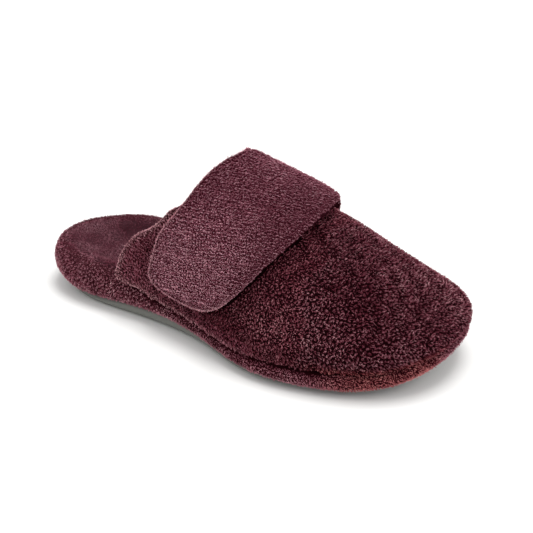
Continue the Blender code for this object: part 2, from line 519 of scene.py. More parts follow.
class Effects:
    """Node groups that several finishes share."""

    NOISE_MEAN = 0.5
    PATCH_DETAIL = 3.0
    PATCH_SWING = 4.0
    YARN_DETAIL = 4.0
    YARN_ROUGHNESS = 0.65

    @staticmethod
    def group(name: str, inputs: dict[str, float], output: str) -> tuple[bpy.types.NodeTree, Nodes]:
        """Starts an empty group with number inputs and one number output.

        Args:
            name: The group's name.
            inputs: Name and usual value of each input.
            output: Name of the output.

        Returns:
            The group and the helper that lays out its nodes.
        """
        tree = bpy.data.node_groups.new(name, "ShaderNodeTree")
        for socket, value in inputs.items():
            made = tree.interface.new_socket(socket, in_out="INPUT", socket_type="NodeSocketFloat")
            made.default_value = value
        tree.interface.new_socket(output, in_out="OUTPUT", socket_type="NodeSocketFloat")
        return tree, Nodes(tree)

    @classmethod
    def nap_patches(cls) -> bpy.types.NodeTree:
        """Broad lighter and darker patches where the pile was brushed different ways."""
        tree, nodes = cls.group("nap_patches", {"Scale": 30.0, "Depth": 0.2}, "Shade")
        given = tree.nodes.new("NodeGroupInput")
        result = tree.nodes.new("NodeGroupOutput")
        place = nodes.add("TexCoord").outputs["Object"]
        noise = nodes.add("TexNoise")
        noise.inputs["Detail"].default_value = cls.PATCH_DETAIL
        nodes.join(place, noise.inputs["Vector"])
        nodes.join(given.outputs["Scale"], noise.inputs["Scale"])
        centred = nodes.maths("SUBTRACT", noise.outputs["Fac"], cls.NOISE_MEAN)
        swing = nodes.maths("MULTIPLY", centred, given.outputs["Depth"])
        full = nodes.maths("MULTIPLY", swing, cls.PATCH_SWING)
        nodes.join(nodes.maths("ADD", full, 1.0), result.inputs["Shade"])
        return tree

    @classmethod
    def yarn_grain(cls) -> bpy.types.NodeTree:
        """Fine uneven height of yarn, brushed fibre or moulded skin."""
        tree, nodes = cls.group("yarn_grain", {"Scale": 900.0, "Stretch": 1.0}, "Height")
        given = tree.nodes.new("NodeGroupInput")
        result = tree.nodes.new("NodeGroupOutput")
        place = nodes.add("TexCoord").outputs["Object"]
        stretch = nodes.add("CombineXYZ")
        stretch.inputs["Y"].default_value = 1.0
        stretch.inputs["Z"].default_value = 1.0
        nodes.join(given.outputs["Stretch"], stretch.inputs["X"])
        scaled = nodes.add("VectorMath", operation="MULTIPLY")
        nodes.join(place, scaled.inputs[0])
        nodes.join(stretch.outputs["Vector"], scaled.inputs[1])
        noise = nodes.add("TexNoise")
        noise.inputs["Detail"].default_value = cls.YARN_DETAIL
        noise.inputs["Roughness"].default_value = cls.YARN_ROUGHNESS
        nodes.join(scaled.outputs["Vector"], noise.inputs["Vector"])
        nodes.join(given.outputs["Scale"], noise.inputs["Scale"])
        nodes.join(noise.outputs["Fac"], result.inputs["Height"])
        return tree


@dataclass(frozen=True)
class Finish:
    """What every finish of the slipper shares.

    Attributes:
        name: The material's name.
        roughness: How dull the surface is.
        gloss: How much white light it throws back.
        patch_scale: How many brushed patches lie along a metre.
        patch_depth: How strong they are.
    """

    name: str
    roughness: float = 0.95
    gloss: float = 0.0
    patch_scale: float = 35.0
    patch_depth: float = 0.10

    def start(self) -> tuple[bpy.types.Material, Nodes, bpy.types.Node]:
        """Makes the material with its plain values.

        Returns:
            The material, the helper that lays out its nodes, and its shader.
        """
        material = bpy.data.materials.new(self.name)
        material.use_nodes = True
        nodes = Nodes(material.node_tree)
        shader = material.node_tree.nodes["Principled BSDF"]
        shader.inputs["Roughness"].default_value = self.roughness
        shader.inputs["Specular IOR Level"].default_value = self.gloss
        return material, nodes, shader

    def patches(self, nodes: Nodes) -> bpy.types.NodeSocket:
        """The output with this finish's brushed patches."""
        group = nodes.add("Group", node_tree=bpy.data.node_groups["nap_patches"])
        group.inputs["Scale"].default_value = self.patch_scale
        group.inputs["Depth"].default_value = self.patch_depth
        return group.outputs["Shade"]

    def grain(self, nodes: Nodes, shader: bpy.types.Node, scale: float, stretch: float, height: float
              ) -> None:
        """Adds fine relief.

        Args:
            nodes: Helper for the material's nodes.
            shader: The material's shader.
            scale: Grains along a metre.
            stretch: How much longer the grains are across the foot than along it.
            height: Height of the relief.
        """
        group = nodes.add("Group", node_tree=bpy.data.node_groups["yarn_grain"])
        group.inputs["Scale"].default_value = scale
        group.inputs["Stretch"].default_value = stretch
        bump = nodes.add("Bump")
        bump.inputs["Distance"].default_value = height
        nodes.join(group.outputs["Height"], bump.inputs["Height"])
        nodes.join(bump.outputs["Normal"], shader.inputs["Normal"])


@dataclass(frozen=True)
class PileFinish(Finish):
    """Terry loops, dark at the root as painted shade deep in the pile and lighter at the tip.

    Attributes:
        root: Colour deep in the pile: painted shade among the loops.
        tip: Colour of the loops' tops.
        rim: Colour of the loops on a rolled edge, paler partly from the edge's own loops and partly as a
            painted sheen on its crest.
        warm_and_shade: Colour of the loops where the cloth is faded reddish, and on the strap a darker
            colour for painted shade on its front and top.
        fleece: Colour of the loops where they are brushed to fleece.
        fade: Power of the tone on red, green and blue: dark loops are redder, and light ones greyer as a
            painted sheen.
    """

    root: Colour = (0.02, 0.004, 0.006)
    tip: Colour = (0.20, 0.07, 0.09)
    rim: Colour = (0.30, 0.13, 0.15)
    warm_and_shade: Colour = (0.20, 0.06, 0.05)
    fleece: Colour = (0.12, 0.05, 0.06)
    fade: Colour = (1.0, 1.6, 1.38)

    def material(self) -> bpy.types.Material:
        """Makes the material.

        Returns:
            The new material.
        """
        material, nodes, shader = self.start()
        top = nodes.blend(nodes.value_of(Attr.WARM_AND_SHADE), self.tip, self.warm_and_shade)
        top = nodes.blend(nodes.value_of(Attr.FLEECE), top, self.fleece)
        top = nodes.blend(nodes.value_of(Attr.RIM), top, self.rim)
        colour = nodes.blend(nodes.value_of(Attr.TIP), self.root, top)
        factor = nodes.maths("MULTIPLY", nodes.value_of(Attr.TONE), self.patches(nodes))
        # Greyer light loops: a painted sheen.
        nodes.join(nodes.fade(colour, factor, self.fade), shader.inputs["Base Color"])
        return material


@dataclass(frozen=True)
class ClothFinish(Finish):
    """Woven ground, lining or fleece.

    Attributes:
        colour: The cloth's colour.
        other: Its colour where the fleece value of the mesh is 1.
        grain_scale: Grains of its yarn along a metre.
        grain_stretch: How much the grains are drawn out across the foot.
        grain_height: Height of their relief.
    """

    colour: Colour = (0.05, 0.02, 0.02)
    other: Colour = (0.05, 0.02, 0.02)
    grain_scale: float = 900.0
    grain_stretch: float = 1.0
    grain_height: float = 0.0006

    def material(self) -> bpy.types.Material:
        """Makes the material.

        Returns:
            The new material.
        """
        material, nodes, shader = self.start()
        colour = nodes.blend(nodes.value_of(Attr.FLEECE), self.colour, self.other)
        nodes.join(nodes.shade(colour, self.patches(nodes)), shader.inputs["Base Color"])
        self.grain(nodes, shader, self.grain_scale, self.grain_stretch, self.grain_height)
        return material


@dataclass(frozen=True)
class RubberFinish(Finish):
    """Matt moulded rubber.

    Attributes:
        colour: The rubber's colour.
        grain_scale: Grains of its moulded skin along a metre.
        grain_height: Height of their relief.
    """

    colour: Colour = (0.13, 0.14, 0.12)
    grain_scale: float = 700.0
    grain_height: float = 0.0002

    def material(self) -> bpy.types.Material:
        """Makes the material.

        Returns:
            The new material.
        """
        material, nodes, shader = self.start()
        plain = nodes.add("RGB").outputs["Color"]
        plain.default_value = (*self.colour, 1.0)
        nodes.join(nodes.shade(plain, self.patches(nodes)), shader.inputs["Base Color"])
        self.grain(nodes, shader, self.grain_scale, stretch=1.0, height=self.grain_height)
        return material


# Terry loops


@dataclass(frozen=True)
class Pile:
    """Terry strands planted on a shell as one joined mesh and gathered into tufts.

    Attributes:
        spacing: Least distance between two strands.
        length: Mean length of a strand.
        radius: Mean half thickness of a strand.
        lean: Mean angle by which strands lean over, in radians.
        swirl: How far their way over the cloth wanders, in radians.
        tuft: Least distance between the middles of two tufts.
        gather: Share of the way to its tuft's middle that a strand's tip is drawn.
        nap: Which way the strands lie.
        seed: Start of the fixed random numbers.
        sides: Sides of a strand.
        belly: Share of a strand's length where it is thickest.
        sunk: How deep its root stands in the cloth.
        belly_light: Share of the tip's colour that it has there.
        dome: How much shorter strands are at the border of a tuft.
        gap_painted_shade: How much darker they are there, as painted shade in the gaps between tufts.
        mottle: How far tufts differ from each other in tone.
        spread: How far strands differ from each other in tone.
        calm: How much more even the strands' tones are on fleece and on a rolled edge.
        row_tone: How much lighter the rows of loops are than the cloth between them.
        row_rise: How much longer their strands are.
        row_pitch: Distance from row to row.
        row_way: Direction across the rows.
        row_wander: How far the rows stray, in radians of their pitch.
        row_break: Mean length over which they do so.
        stray: How far single strands turn from the way of those round them, in radians.
    """

    CANDIDATES: ClassVar[int] = 3
    MEAN_TONE: ClassVar[float] = 1.05
    TUFT_REACH: ClassVar[float] = 0.6
    SWIRL_SIZE: ClassVar[float] = 0.011
    UNEVEN: ClassVar[tuple[float, float]] = (0.75, 1.25)
    LEAN_SPREAD: ClassVar[float] = 0.25
    LEAN_RANGE: ClassVar[tuple[float, float]] = (0.05, 1.3)
    BELLY_RISE: ClassVar[float] = 0.62
    BELLY_REACH: ClassVar[float] = 0.36
    BELLY_PULL: ClassVar[float] = 0.5
    BELLY_WIDE: ClassVar[float] = 1.15
    BELLY_FLAT: ClassVar[float] = 0.9
    SIDE_NUDGE: ClassVar[float] = 1e-6
    CELL_MARGIN: ClassVar[float] = 0.1
    CELL_SIZE: ClassVar[float] = 0.8

    spacing: float
    length: float
    radius: float
    lean: float
    swirl: float
    tuft: float
    gather: float
    nap: Nap
    seed: int
    sides: int = 3
    belly: float = 0.55
    sunk: float = 0.0003
    belly_light: float = 0.80
    dome: float = 0.30
    gap_painted_shade: float = 0.35
    mottle: float = 0.25
    spread: float = 0.55
    calm: float = 0.55
    row_tone: float = 0.0
    row_rise: float = 0.0
    row_pitch: float = 0.0019
    row_way: Place = (0.30, 0.62, 0.72)
    row_wander: float = 1.5
    row_break: float = 0.006
    stray: float = 0.4

    def plant(self, name: str, shell: bpy.types.Object, fields: dict[Attr, np.ndarray], keep: np.ndarray,
              tall: np.ndarray) -> bpy.types.Object:
        """Grows the strands.

        Args:
            name: Name of the new piece.
            shell: The skin that they grow on.
            fields: Values at the shell's vertices that each strand takes on.
            keep: Share of the strands to keep at each of the shell's vertices.
            tall: Factor on their length at each of the shell's vertices.

        Returns:
            The piece with all the strands.
        """
        draw = np.random.default_rng(self.seed)
        corners, weights = self.scatter(shell.data, keep, draw)
        places = self.at(read_points(shell.data), corners, weights)
        middles = places[self.thin(places, self.tuft)]
        chosen = self.thin(places, self.spacing)
        corners, weights, roots = corners[chosen], weights[chosen], places[chosen]
        upright = unit(self.at(read_normals(shell.data), corners, weights))
        sizes = self.at(tall[:, None], corners, weights)[:, 0]
        owner, pull = self.gathered(middles, roots, upright)
        edge = np.clip(np.linalg.norm(pull, axis=1) / (self.TUFT_REACH * self.tuft), 0.0, 1.0) ** 2
        rows = self.rows(roots)
        sizes *= (1 - self.dome * edge) * (1 + self.row_rise * rows)
        mesh = self.strands(name, roots, upright, pull, sizes, draw)
        tuft_tone = draw.uniform(1 - self.mottle, 1 + self.mottle, len(middles))
        lightest, darkest = self.MEAN_TONE + self.spread, self.MEAN_TONE - self.spread
        tone = tuft_tone[owner] * draw.uniform(darkest, lightest, len(roots))
        # Painted shade in the gaps between tufts.
        tone *= (1 - self.gap_painted_shade * edge) * (1 + self.row_tone * rows)
        values = {kind: self.at(field[:, None], corners, weights)[:, 0] for kind, field in fields.items()}
        smoothed = np.maximum(values[Attr.FLEECE], values[Attr.RIM])
        values[Attr.TONE] *= 1 + (tone - 1) * (1 - self.calm * smoothed)
        each = self.sides + 2
        for kind, numbers in values.items():
            write_values(mesh, kind, np.repeat(numbers, each))
        # The strands' dark roots are painted shade deep in the pile.
        shares = [0.0] + [self.belly_light] * self.sides + [1.0]
        write_values(mesh, Attr.TIP, np.tile(np.array(shares), len(roots)))
        return link(name, mesh)

    def rows(self, roots: np.ndarray) -> np.ndarray:
        """Broken rows in which the loops stand over the cloth.

        Args:
            roots: Where each strand grows.

        Returns:
            A number from -1 between two rows to 1 on a row, for each strand.
        """
        wander = Ripple(self.row_wander, self.row_break, self.seed + 1).at(roots)
        return np.sin(roots @ np.array(self.row_way) * (2 * pi / self.row_pitch) + wander)

    @staticmethod
    def at(values: np.ndarray, corners: np.ndarray, weights: np.ndarray) -> np.ndarray:
        """Values at places inside triangles, from those at their corners."""
        return (values[corners] * weights[:, :, None]).sum(axis=1)

    def scatter(self, mesh: bpy.types.Mesh, keep: np.ndarray, draw: np.random.Generator
                ) -> tuple[np.ndarray, np.ndarray]:
        """Throws many candidate places evenly over the mesh.

        Args:
            mesh: The mesh to cover.
            keep: Chance of keeping a place, at each vertex.
            draw: Source of random numbers.

        Returns:
            The three corner vertices of each place's triangle, and their weights.
        """
        mesh.calc_loop_triangles()
        triangles = np.empty(len(mesh.loop_triangles) * 3, np.int32)
        mesh.loop_triangles.foreach_get("vertices", triangles)
        triangles = triangles.reshape(-1, 3)
        triangles = triangles[keep[triangles].max(axis=1) > 0]
        a, b, c = (read_points(mesh)[triangles[:, i]] for i in range(3))
        areas = np.linalg.norm(np.cross(b - a, c - a), axis=1) / 2
        count = int(areas.sum() / self.spacing**2 * self.CANDIDATES)
        picked = draw.choice(len(triangles), count, p=areas / areas.sum())
        first = np.sqrt(draw.random(count))
        second = draw.random(count)
        weights = np.stack([1 - first, first * (1 - second), first * second], axis=1)
        corners = triangles[picked]
        chance = (keep[corners] * weights).sum(axis=1)
        kept = draw.random(count) < chance
        return corners[kept], weights[kept]

    @staticmethod
    def thin(places: np.ndarray, gap: float) -> list[int]:
        """Picks places, in order, that keep their distance from those picked before.

        Args:
            places: Candidate places, one a row.
            gap: The least distance.

        Returns:
            The rows that were picked.
        """
        cells: dict[tuple[int, int, int], list[int]] = {}
        near = [(i, j, k) for i in (-1, 0, 1) for j in (-1, 0, 1) for k in (-1, 0, 1)]
        least = gap**2
        keys = np.floor(places / gap).astype(int).tolist()
        rows = places.tolist()
        picked = []
        for index, ((i, j, k), (x, y, z)) in enumerate(zip(keys, rows, strict=True)):
            around = (o for di, dj, dk in near for o in cells.get((i + di, j + dj, k + dk), ()))
            spots = (rows[other] for other in around)
            if all((x - u) ** 2 + (y - v) ** 2 + (z - w) ** 2 >= least for u, v, w in spots):
                cells.setdefault((i, j, k), []).append(index)
                picked.append(index)
        return picked

    @staticmethod
    def gathered(middles: np.ndarray, roots: np.ndarray, upright: np.ndarray
                 ) -> tuple[np.ndarray, np.ndarray]:
        """Gives each strand to the nearest tuft.

        Args:
            middles: Middles of the tufts.
            roots: Where each strand grows.
            upright: The cloth's normal there.

        Returns:
            The tuft of each strand, and the way over the cloth from the strand to the tuft's middle.
        """
        tree = KDTree(len(middles))
        for index, place in enumerate(middles):
            tree.insert(place, index)
        tree.balance()
        owner = np.array([tree.find(root)[1] for root in roots])
        way = middles[owner] - roots
        return owner, way - (way * upright).sum(axis=1, keepdims=True) * upright

    def strands(self, name: str, roots: np.ndarray, upright: np.ndarray, pull: np.ndarray, sizes: np.ndarray,
                draw: np.random.Generator) -> bpy.types.Mesh:
        """Makes the strands' joined mesh, each strand a closed spindle.

        Args:
            name: Name of the mesh.
            roots: Where each strand grows.
            upright: The cloth's normal there.
            pull: Way from each strand to its tuft's middle.
            sizes: Factor on each strand's length.
            draw: Source of random numbers.

        Returns:
            The mesh.
        """
        count = len(roots)
        way = np.tile(np.array(self.nap.value), (count, 1))
        flat = unit(way - (way * upright).sum(axis=1, keepdims=True) * upright)
        turn = Ripple(self.swirl, self.SWIRL_SIZE, self.seed).at(roots) + draw.normal(0, self.stray, count)
        lie = np.cos(turn)[:, None] * flat + np.sin(turn)[:, None] * np.cross(upright, flat)
        length = self.length * sizes * draw.uniform(*self.UNEVEN, count)
        radius = (self.radius * draw.uniform(*self.UNEVEN, count))[:, None]
        lean = np.clip(self.lean + draw.normal(0, self.LEAN_SPREAD, count), *self.LEAN_RANGE)
        rise, reach = (np.cos(lean) * length)[:, None], (np.sin(lean) * length)[:, None]
        low = roots - upright * self.sunk
        middle = roots + upright * rise * self.BELLY_RISE + lie * reach * self.BELLY_REACH
        middle += pull * self.gather * self.BELLY_PULL
        top = roots + upright * rise + lie * reach + pull * self.gather
        along = unit(top - low)
        side = unit(np.cross(along, upright) + self.SIDE_NUDGE * lie)
        over = np.cross(side, along)
        ring = []
        for spot in range(self.sides):
            angle = 2 * pi * spot / self.sides + pi / 2
            wide, flat = self.BELLY_WIDE * cos(angle), self.BELLY_FLAT * sin(angle)
            ring.append(middle + (side * wide + over * flat) * radius)
        points = np.stack([low, *ring, top], axis=1).reshape(-1, 3)
        faces, cells = self.faces()
        each = self.sides + 2
        mesh = bpy.data.meshes.new(name)
        every = (np.arange(count)[:, None, None] * each + faces[None]).reshape(-1, 3)
        mesh.from_pydata(points.tolist(), [], every.tolist())
        self.unroll(mesh, cells, count)
        mesh.shade_smooth()
        return mesh

    def faces(self) -> tuple[np.ndarray, np.ndarray]:
        """The triangles of one strand.

        Returns:
            The vertices of each triangle, and where each of its corners lies in the strand's cell of the
            flat map.
        """
        tip = self.sides + 1
        faces, cells = [], []
        for spot in range(self.sides):
            here, after = 1 + spot, 1 + (spot + 1) % self.sides
            left, right = spot / self.sides, (spot + 1) / self.sides
            faces += [(0, after, here), (tip, here, after)]
            cells += [((left + right) / 2, 0.0), (right, self.belly), (left, self.belly)]
            cells += [((left + right) / 2, 1.0), (left, self.belly), (right, self.belly)]
        return np.array(faces), np.array(cells)

    @classmethod
    def unroll(cls, mesh: bpy.types.Mesh, cells: np.ndarray, count: int) -> None:
        """Lays each strand out in its own cell of a flat map.

        Args:
            mesh: The strands' mesh.
            cells: Where each face corner of one strand lies in its cell.
            count: How many strands there are.
        """
        columns = ceil(sqrt(count))
        index = np.arange(count)
        corner = np.stack([index % columns, index // columns], axis=1).astype(float)
        inside = cls.CELL_MARGIN + cls.CELL_SIZE * cells
        flat = (corner[:, None, :] + inside[None, :, :]) / columns
        layer = mesh.uv_layers.new(name=BAKE_MAP)
        layer.uv.foreach_set("vector", flat.reshape(-1).astype(np.float32))


# Pieces


class Form:
    """Soft moves that neighbouring pieces share, so that they stay together."""

    FAR_RIM = Push((-0.074, 0.033, 0.031), (0.030, 0.014, 0.013), (0.0, 0.0, 0.0048))
    FAR_COLLAR = Push((-0.077, 0.033, 0.034), (0.013, 0.014, 0.011), (-0.0025, 0.0, 0.0045))
    TOE_TIP = Push((0.131, 0.014, 0.011), (0.012, 0.022, 0.011), (0.0, 0.0, 0.0046))
    VAMP_TOP = Push((0.078, 0.028, 0.058), (0.026, 0.020, 0.014), (0.0, -0.0005, -0.0022))


class Fleece:
    """The patch of brushed fleece at the heel, an oval on the plan."""

    CENTRE = (-0.092, 0.008)
    REACH = (0.046, 0.036)
    BORDER = Ramp(1.35, 0.65)
    WANDER = Ripple(0.06, 0.012, 5)

    @classmethod
    def share(cls, points: np.ndarray) -> np.ndarray:
        """How much of the fleece each place shows.

        Args:
            points: Places, one a row.

        Returns:
            1 inside the fleece, 0 on terry, with a soft change between them.
        """
        across = (points[:, :2] - np.array(cls.CENTRE)) / np.array(cls.REACH)
        return cls.BORDER.of(np.linalg.norm(across, axis=1) + cls.WANDER.at(points))


@dataclass
class Piece:
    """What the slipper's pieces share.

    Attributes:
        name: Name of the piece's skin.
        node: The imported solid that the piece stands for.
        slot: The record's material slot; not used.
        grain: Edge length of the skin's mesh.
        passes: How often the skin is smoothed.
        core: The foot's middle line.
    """

    EDGE_LIMIT: ClassVar[float] = 0.35

    name: str
    node: str
    slot: str
    grain: float
    passes: int
    core: FootCore = field(default_factory=FootCore)

    def skin(self) -> bpy.types.Object:
        """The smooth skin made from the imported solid."""
        return Shell(self.name, self.node, self.grain, self.passes).build()

    def place(self, piece: bpy.types.Object, material: bpy.types.Material, stands: bool) -> None:
        """Dresses a piece and fixes it to the slipper.

        Args:
            piece: The piece.
            material: Its finish.
            stands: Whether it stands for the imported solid.
        """
        piece.data.materials.append(material)
        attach(piece, BODY)
        if stands:
            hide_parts(self.node)
        piece.data.calc_loop_triangles()
        LOG.info("%s: %d triangles", piece.name, len(piece.data.loop_triangles))

    def facing(self, mesh: bpy.types.Mesh) -> np.ndarray:
        """How far each vertex looks out of the slipper: 1 on an outer face, 0 on an edge, -1 inside."""
        return (read_normals(mesh) * self.core.outward(read_points(mesh))).sum(axis=1)

    def inset(self, mesh: bpy.types.Mesh) -> np.ndarray:
        """Distance of each vertex from the piece's free edge."""
        points = read_points(mesh)
        return distance_to(points[np.abs(self.facing(mesh)) < self.EDGE_LIMIT], points)

    @staticmethod
    def crease(mesh: bpy.types.Mesh, creases: tuple[Crease, ...], where: np.ndarray) -> None:
        """Presses troughs and ridges into a mesh.

        Args:
            mesh: The mesh to shape.
            creases: The troughs and ridges.
            where: Share of their depth that each vertex takes.
        """
        points = read_points(mesh)
        depth = sum(c.sink(points) for c in creases)
        write_points(mesh, points - read_normals(mesh) * (depth * where)[:, None])

    @staticmethod
    def push(mesh: bpy.types.Mesh, *pushes: Push) -> None:
        """Moves parts of a mesh softly.

        Args:
            mesh: The mesh to shape.
            *pushes: The moves.
        """
        points = read_points(mesh)
        write_points(mesh, points + sum(p.shift(points) for p in pushes))


@dataclass
class Outsole(Piece):
    """The thin rubber outsole with shallow cross grooves under it.

    Attributes:
        groove_pitch: Distance from groove to groove.
        groove_depth: How deep they are.
        groove_share: Share of the pitch that a groove takes.
        groove_wave: How far they swing along the foot.
        groove_turn: Width across the foot over which they swing by one radian.
        border: Width of the plain border.
        border_blend: Width over which the grooves fade out beside it.
        under_limit: Upward part of the normal below which a face is the underside.
        wall_limit: Upward part of the normal within which a face is the side wall.
        finish: The rubber.
    """

    name: str = "outsole_rubber"
    node: str = "outsole"
    slot: str = "outsole_rubber"
    grain: float = 0.0012
    passes: int = 2
    groove_pitch: float = 0.0070
    groove_depth: float = 0.0007
    groove_share: float = 0.35
    groove_wave: float = 0.0030
    groove_turn: float = 0.0120
    border: float = 0.0060
    border_blend: float = 0.0010
    under_limit: float = -0.8
    wall_limit: float = 0.5
    finish: RubberFinish = RubberFinish("outsole_rubber", roughness=0.7, gloss=0.1, patch_scale=60.0,
                                        patch_depth=0.05, colour=(0.175, 0.178, 0.162))

    def build(self) -> None:
        """Makes and dresses the outsole."""
        piece = self.skin()
        self.tread(piece.data)
        self.push(piece.data, Form.TOE_TIP)
        self.place(piece, self.finish.material(), True)

    def tread(self, mesh: bpy.types.Mesh) -> None:
        """Presses wavy grooves into the underside, clear of the border.

        Args:
            mesh: The outsole's mesh.
        """
        points, normals = read_points(mesh), read_normals(mesh)
        under = normals[:, 2] < self.under_limit
        wall = np.abs(normals[:, 2]) < self.wall_limit
        inner = Ramp(self.border, self.border + self.border_blend).of(distance_to(points[wall], points))
        phase = points[:, 0] + self.groove_wave * np.sin(points[:, 1] / self.groove_turn)
        saw = np.abs((phase / self.groove_pitch) % 1.0 - 0.5) * 2
        groove = Ramp(1 - self.groove_share, 1 - self.groove_share / 3).of(saw)
        points[:, 2] += self.groove_depth * groove * inner * under
        write_points(mesh, points)


@dataclass
class Footbed(Piece):
    """The footbed in its terry wrap, with the heel's fleece running over its rim.

    Attributes:
        heel_front: Where the heel's pile ends and the band's begins, along the foot.
        band_shade: How much darker the band's loops are than the heel's.
        band_blend: Length over which they darken.
        fleece_up: How the fleece ends down the wall, by the upward part of the normal.
        fleece_short: How much shorter the loops are on fleece.
        warm_share: How far the loops fade to reddish at the toe.
        warm_along: Where they do so along the foot.
        warm_across: Where they do so across it.
        reach: Distance up to which neighbouring solids are looked for.
        insole_reach: The same for the shade beside the insole.
        insole_near: How near the insole the loops stand up and are shaded.
        insole_shade: How much darker they are there, as painted shade along the border with the insole.
        insole_tall: How much longer they are there.
        tone: Broad change of tone.
        smudge: Fine change that breaks up the shades.
        smudge_share: How much of a shade that change lets through.
        seam_near: How near the upper the loops lie in the seam.
        seam_along: Where the seam is dark along the foot.
        seam_shade: How dark the painted shade in the seam is.
        hem_gap: Bare distance from the upper at the toe.
        side_gap: What the side adds to it.
        side_along: Where the side begins.
        rear_gap: What the rear adds to it.
        rear_along: Where the rear begins.
        insole_gap: Bare distance from the insole.
        outsole_gap: Bare distance from the outsole.
        lowest: Upward part of the normal under which no loops grow.
        heel_pile: Loops of the heel.
        band_pile: Loops of the band round the rest.
        creases: Troughs in the wrap.
        shades: Dark spots on it, along the fleece's border.
        ground: The cloth under the loops, dark as painted shade between them.
        loops: The loops' finish.
    """

    name: str = "footbed_wrap"
    node: str = "footbed"
    slot: str = "footbed_terry"
    grain: float = 0.0015
    passes: int = 5
    heel_front: float = -0.040
    band_shade: float = 0.10
    band_blend: float = 0.015
    fleece_up: Ramp = Ramp(-0.1, 0.3)
    fleece_short: float = 0.35
    warm_share: float = 0.85
    warm_along: Ramp = Ramp(0.062, 0.098)
    warm_across: Ramp = Ramp(0.0, -0.02)
    reach: float = 0.004
    insole_reach: float = 0.005
    insole_near: Ramp = Ramp(0.0045, 0.0005)
    insole_shade: float = 0.12
    insole_tall: float = 0.6
    tone: Ripple = Ripple(0.12, 0.03, 41)
    smudge: Ripple = Ripple(1.0, 0.004, 7)
    smudge_share: Ramp = Ramp(-0.4, 0.6)
    seam_near: Ramp = Ramp(0.0032, 0.0012)
    seam_along: Ramp = Ramp(0.095, 0.065)
    seam_shade: float = 0.40
    hem_gap: float = 0.0007
    side_gap: float = 0.0006
    side_along: Ramp = Ramp(0.095, 0.070)
    rear_gap: float = 0.0011
    rear_along: Ramp = Ramp(0.035, 0.010)
    insole_gap: float = 0.0002
    outsole_gap: float = 0.0008
    lowest: float = -0.85
    heel_pile: Pile = Pile(0.00060, 0.0018, 0.00023, 0.80, 1.2, 0.0018, 0.48, Nap.DOWN, 11, gap_painted_shade=0.50,
                           spread=0.36, stray=0.6)
    band_pile: Pile = Pile(0.00062, 0.0017, 0.00024, 1.00, 0.7, 0.0017, 0.25, Nap.SLANT, 13, gap_painted_shade=0.24,
                           mottle=0.12, spread=0.28, stray=0.3)
    creases: tuple[Crease, ...] = (
        Crease(((-0.098, -0.026, 0.028), (-0.088, -0.027, 0.027), (-0.074, -0.029, 0.026)), 0.0035, 0.0016),
    )
    shades: tuple[Crease, ...] = (
        Crease(((-0.099, -0.0245, 0.030), (-0.083, -0.0255, 0.029)), 0.0032, 0.50),
        Crease(((-0.117, -0.019, 0.030), (-0.111, -0.022, 0.030)), 0.0032, 0.50),
    )
    ground: ClothFinish = ClothFinish("footbed_ground", colour=(0.022, 0.003, 0.005),
                                      other=(0.060, 0.017, 0.023))
    loops: PileFinish = PileFinish("footbed_terry", root=(0.024, 0.003, 0.006), tip=(0.645, 0.290, 0.343),
                                   warm_and_shade=(0.74, 0.244, 0.230), fleece=(0.345, 0.144, 0.180))

    def build(self) -> None:
        """Makes and dresses the wrapped footbed."""
        shell = self.skin()
        mesh = shell.data
        self.push(mesh, Form.FAR_RIM, Form.TOE_TIP)
        self.crease(mesh, self.creases, np.ones(len(mesh.vertices)))
        points, normals = read_points(mesh), read_normals(mesh)
        fleece = Fleece.share(points) * self.fleece_up.of(normals[:, 2])
        write_values(mesh, Attr.FLEECE, fleece)
        warm_and_shade = self.warm_share * self.warm_along.of(points[:, 0]) * self.warm_across.of(points[:, 1])
        beside = self.insole_near.of(clearance(solid_tree("insole"), points, self.insole_reach))
        tone = self.tones(points, beside)
        fields = {Attr.WARM_AND_SHADE: warm_and_shade, Attr.RIM: np.zeros(len(points)), Attr.FLEECE: fleece, Attr.TONE: tone}
        keep = self.terry_share(points, normals)
        tall = 1 - self.fleece_short * fleece + self.insole_tall * beside
        heel = points[:, 0] < self.heel_front
        for name, pile, part in (("heel", self.heel_pile, heel), ("band", self.band_pile, ~heel)):
            loops = pile.plant(f"footbed_loops_{name}", shell, fields, keep * part, tall)
            self.place(loops, self.loops.material(), False)
        self.place(shell, self.ground.material(), True)

    def tones(self, points: np.ndarray, beside: np.ndarray) -> np.ndarray:
        """How light the loops are.

        Args:
            points: Places, one a row.
            beside: How close to the insole each place is, from 0 to 1.

        Returns:
            One factor for each place.
        """
        # Painted shade along the border with the insole.
        tone = 1 + self.tone.at(points) - self.insole_shade * beside
        tone -= self.band_shade * Ramp(self.heel_front - self.band_blend, self.heel_front).of(points[:, 0])
        tone -= sum(s.sink(points) for s in self.shades) * self.smudge_share.of(self.smudge.at(points))
        # Painted shade in the seam under the upper's hem.
        seam = self.seam_near.of(clearance(solid_tree("upper"), points, self.reach))
        return tone - self.seam_shade * seam * self.seam_along.of(points[:, 0])

    def terry_share(self, points: np.ndarray, normals: np.ndarray) -> np.ndarray:
        """Where the wrap shows.

        Args:
            points: Places, one a row.
            normals: The wrap's normals there.

        Returns:
            1 where loops grow, 0 where the wrap is hidden.
        """
        gap = self.hem_gap + self.side_gap * self.side_along.of(points[:, 0])
        gap += self.rear_gap * self.rear_along.of(points[:, 0])
        free = clearance(solid_tree("upper"), points, self.reach) > gap
        above = clearance(solid_tree("insole"), points, self.reach) > self.insole_gap
        below = clearance(solid_tree("outsole"), points, self.reach) > self.outsole_gap
        return (free & above & below & (normals[:, 2] > self.lowest)).astype(float)


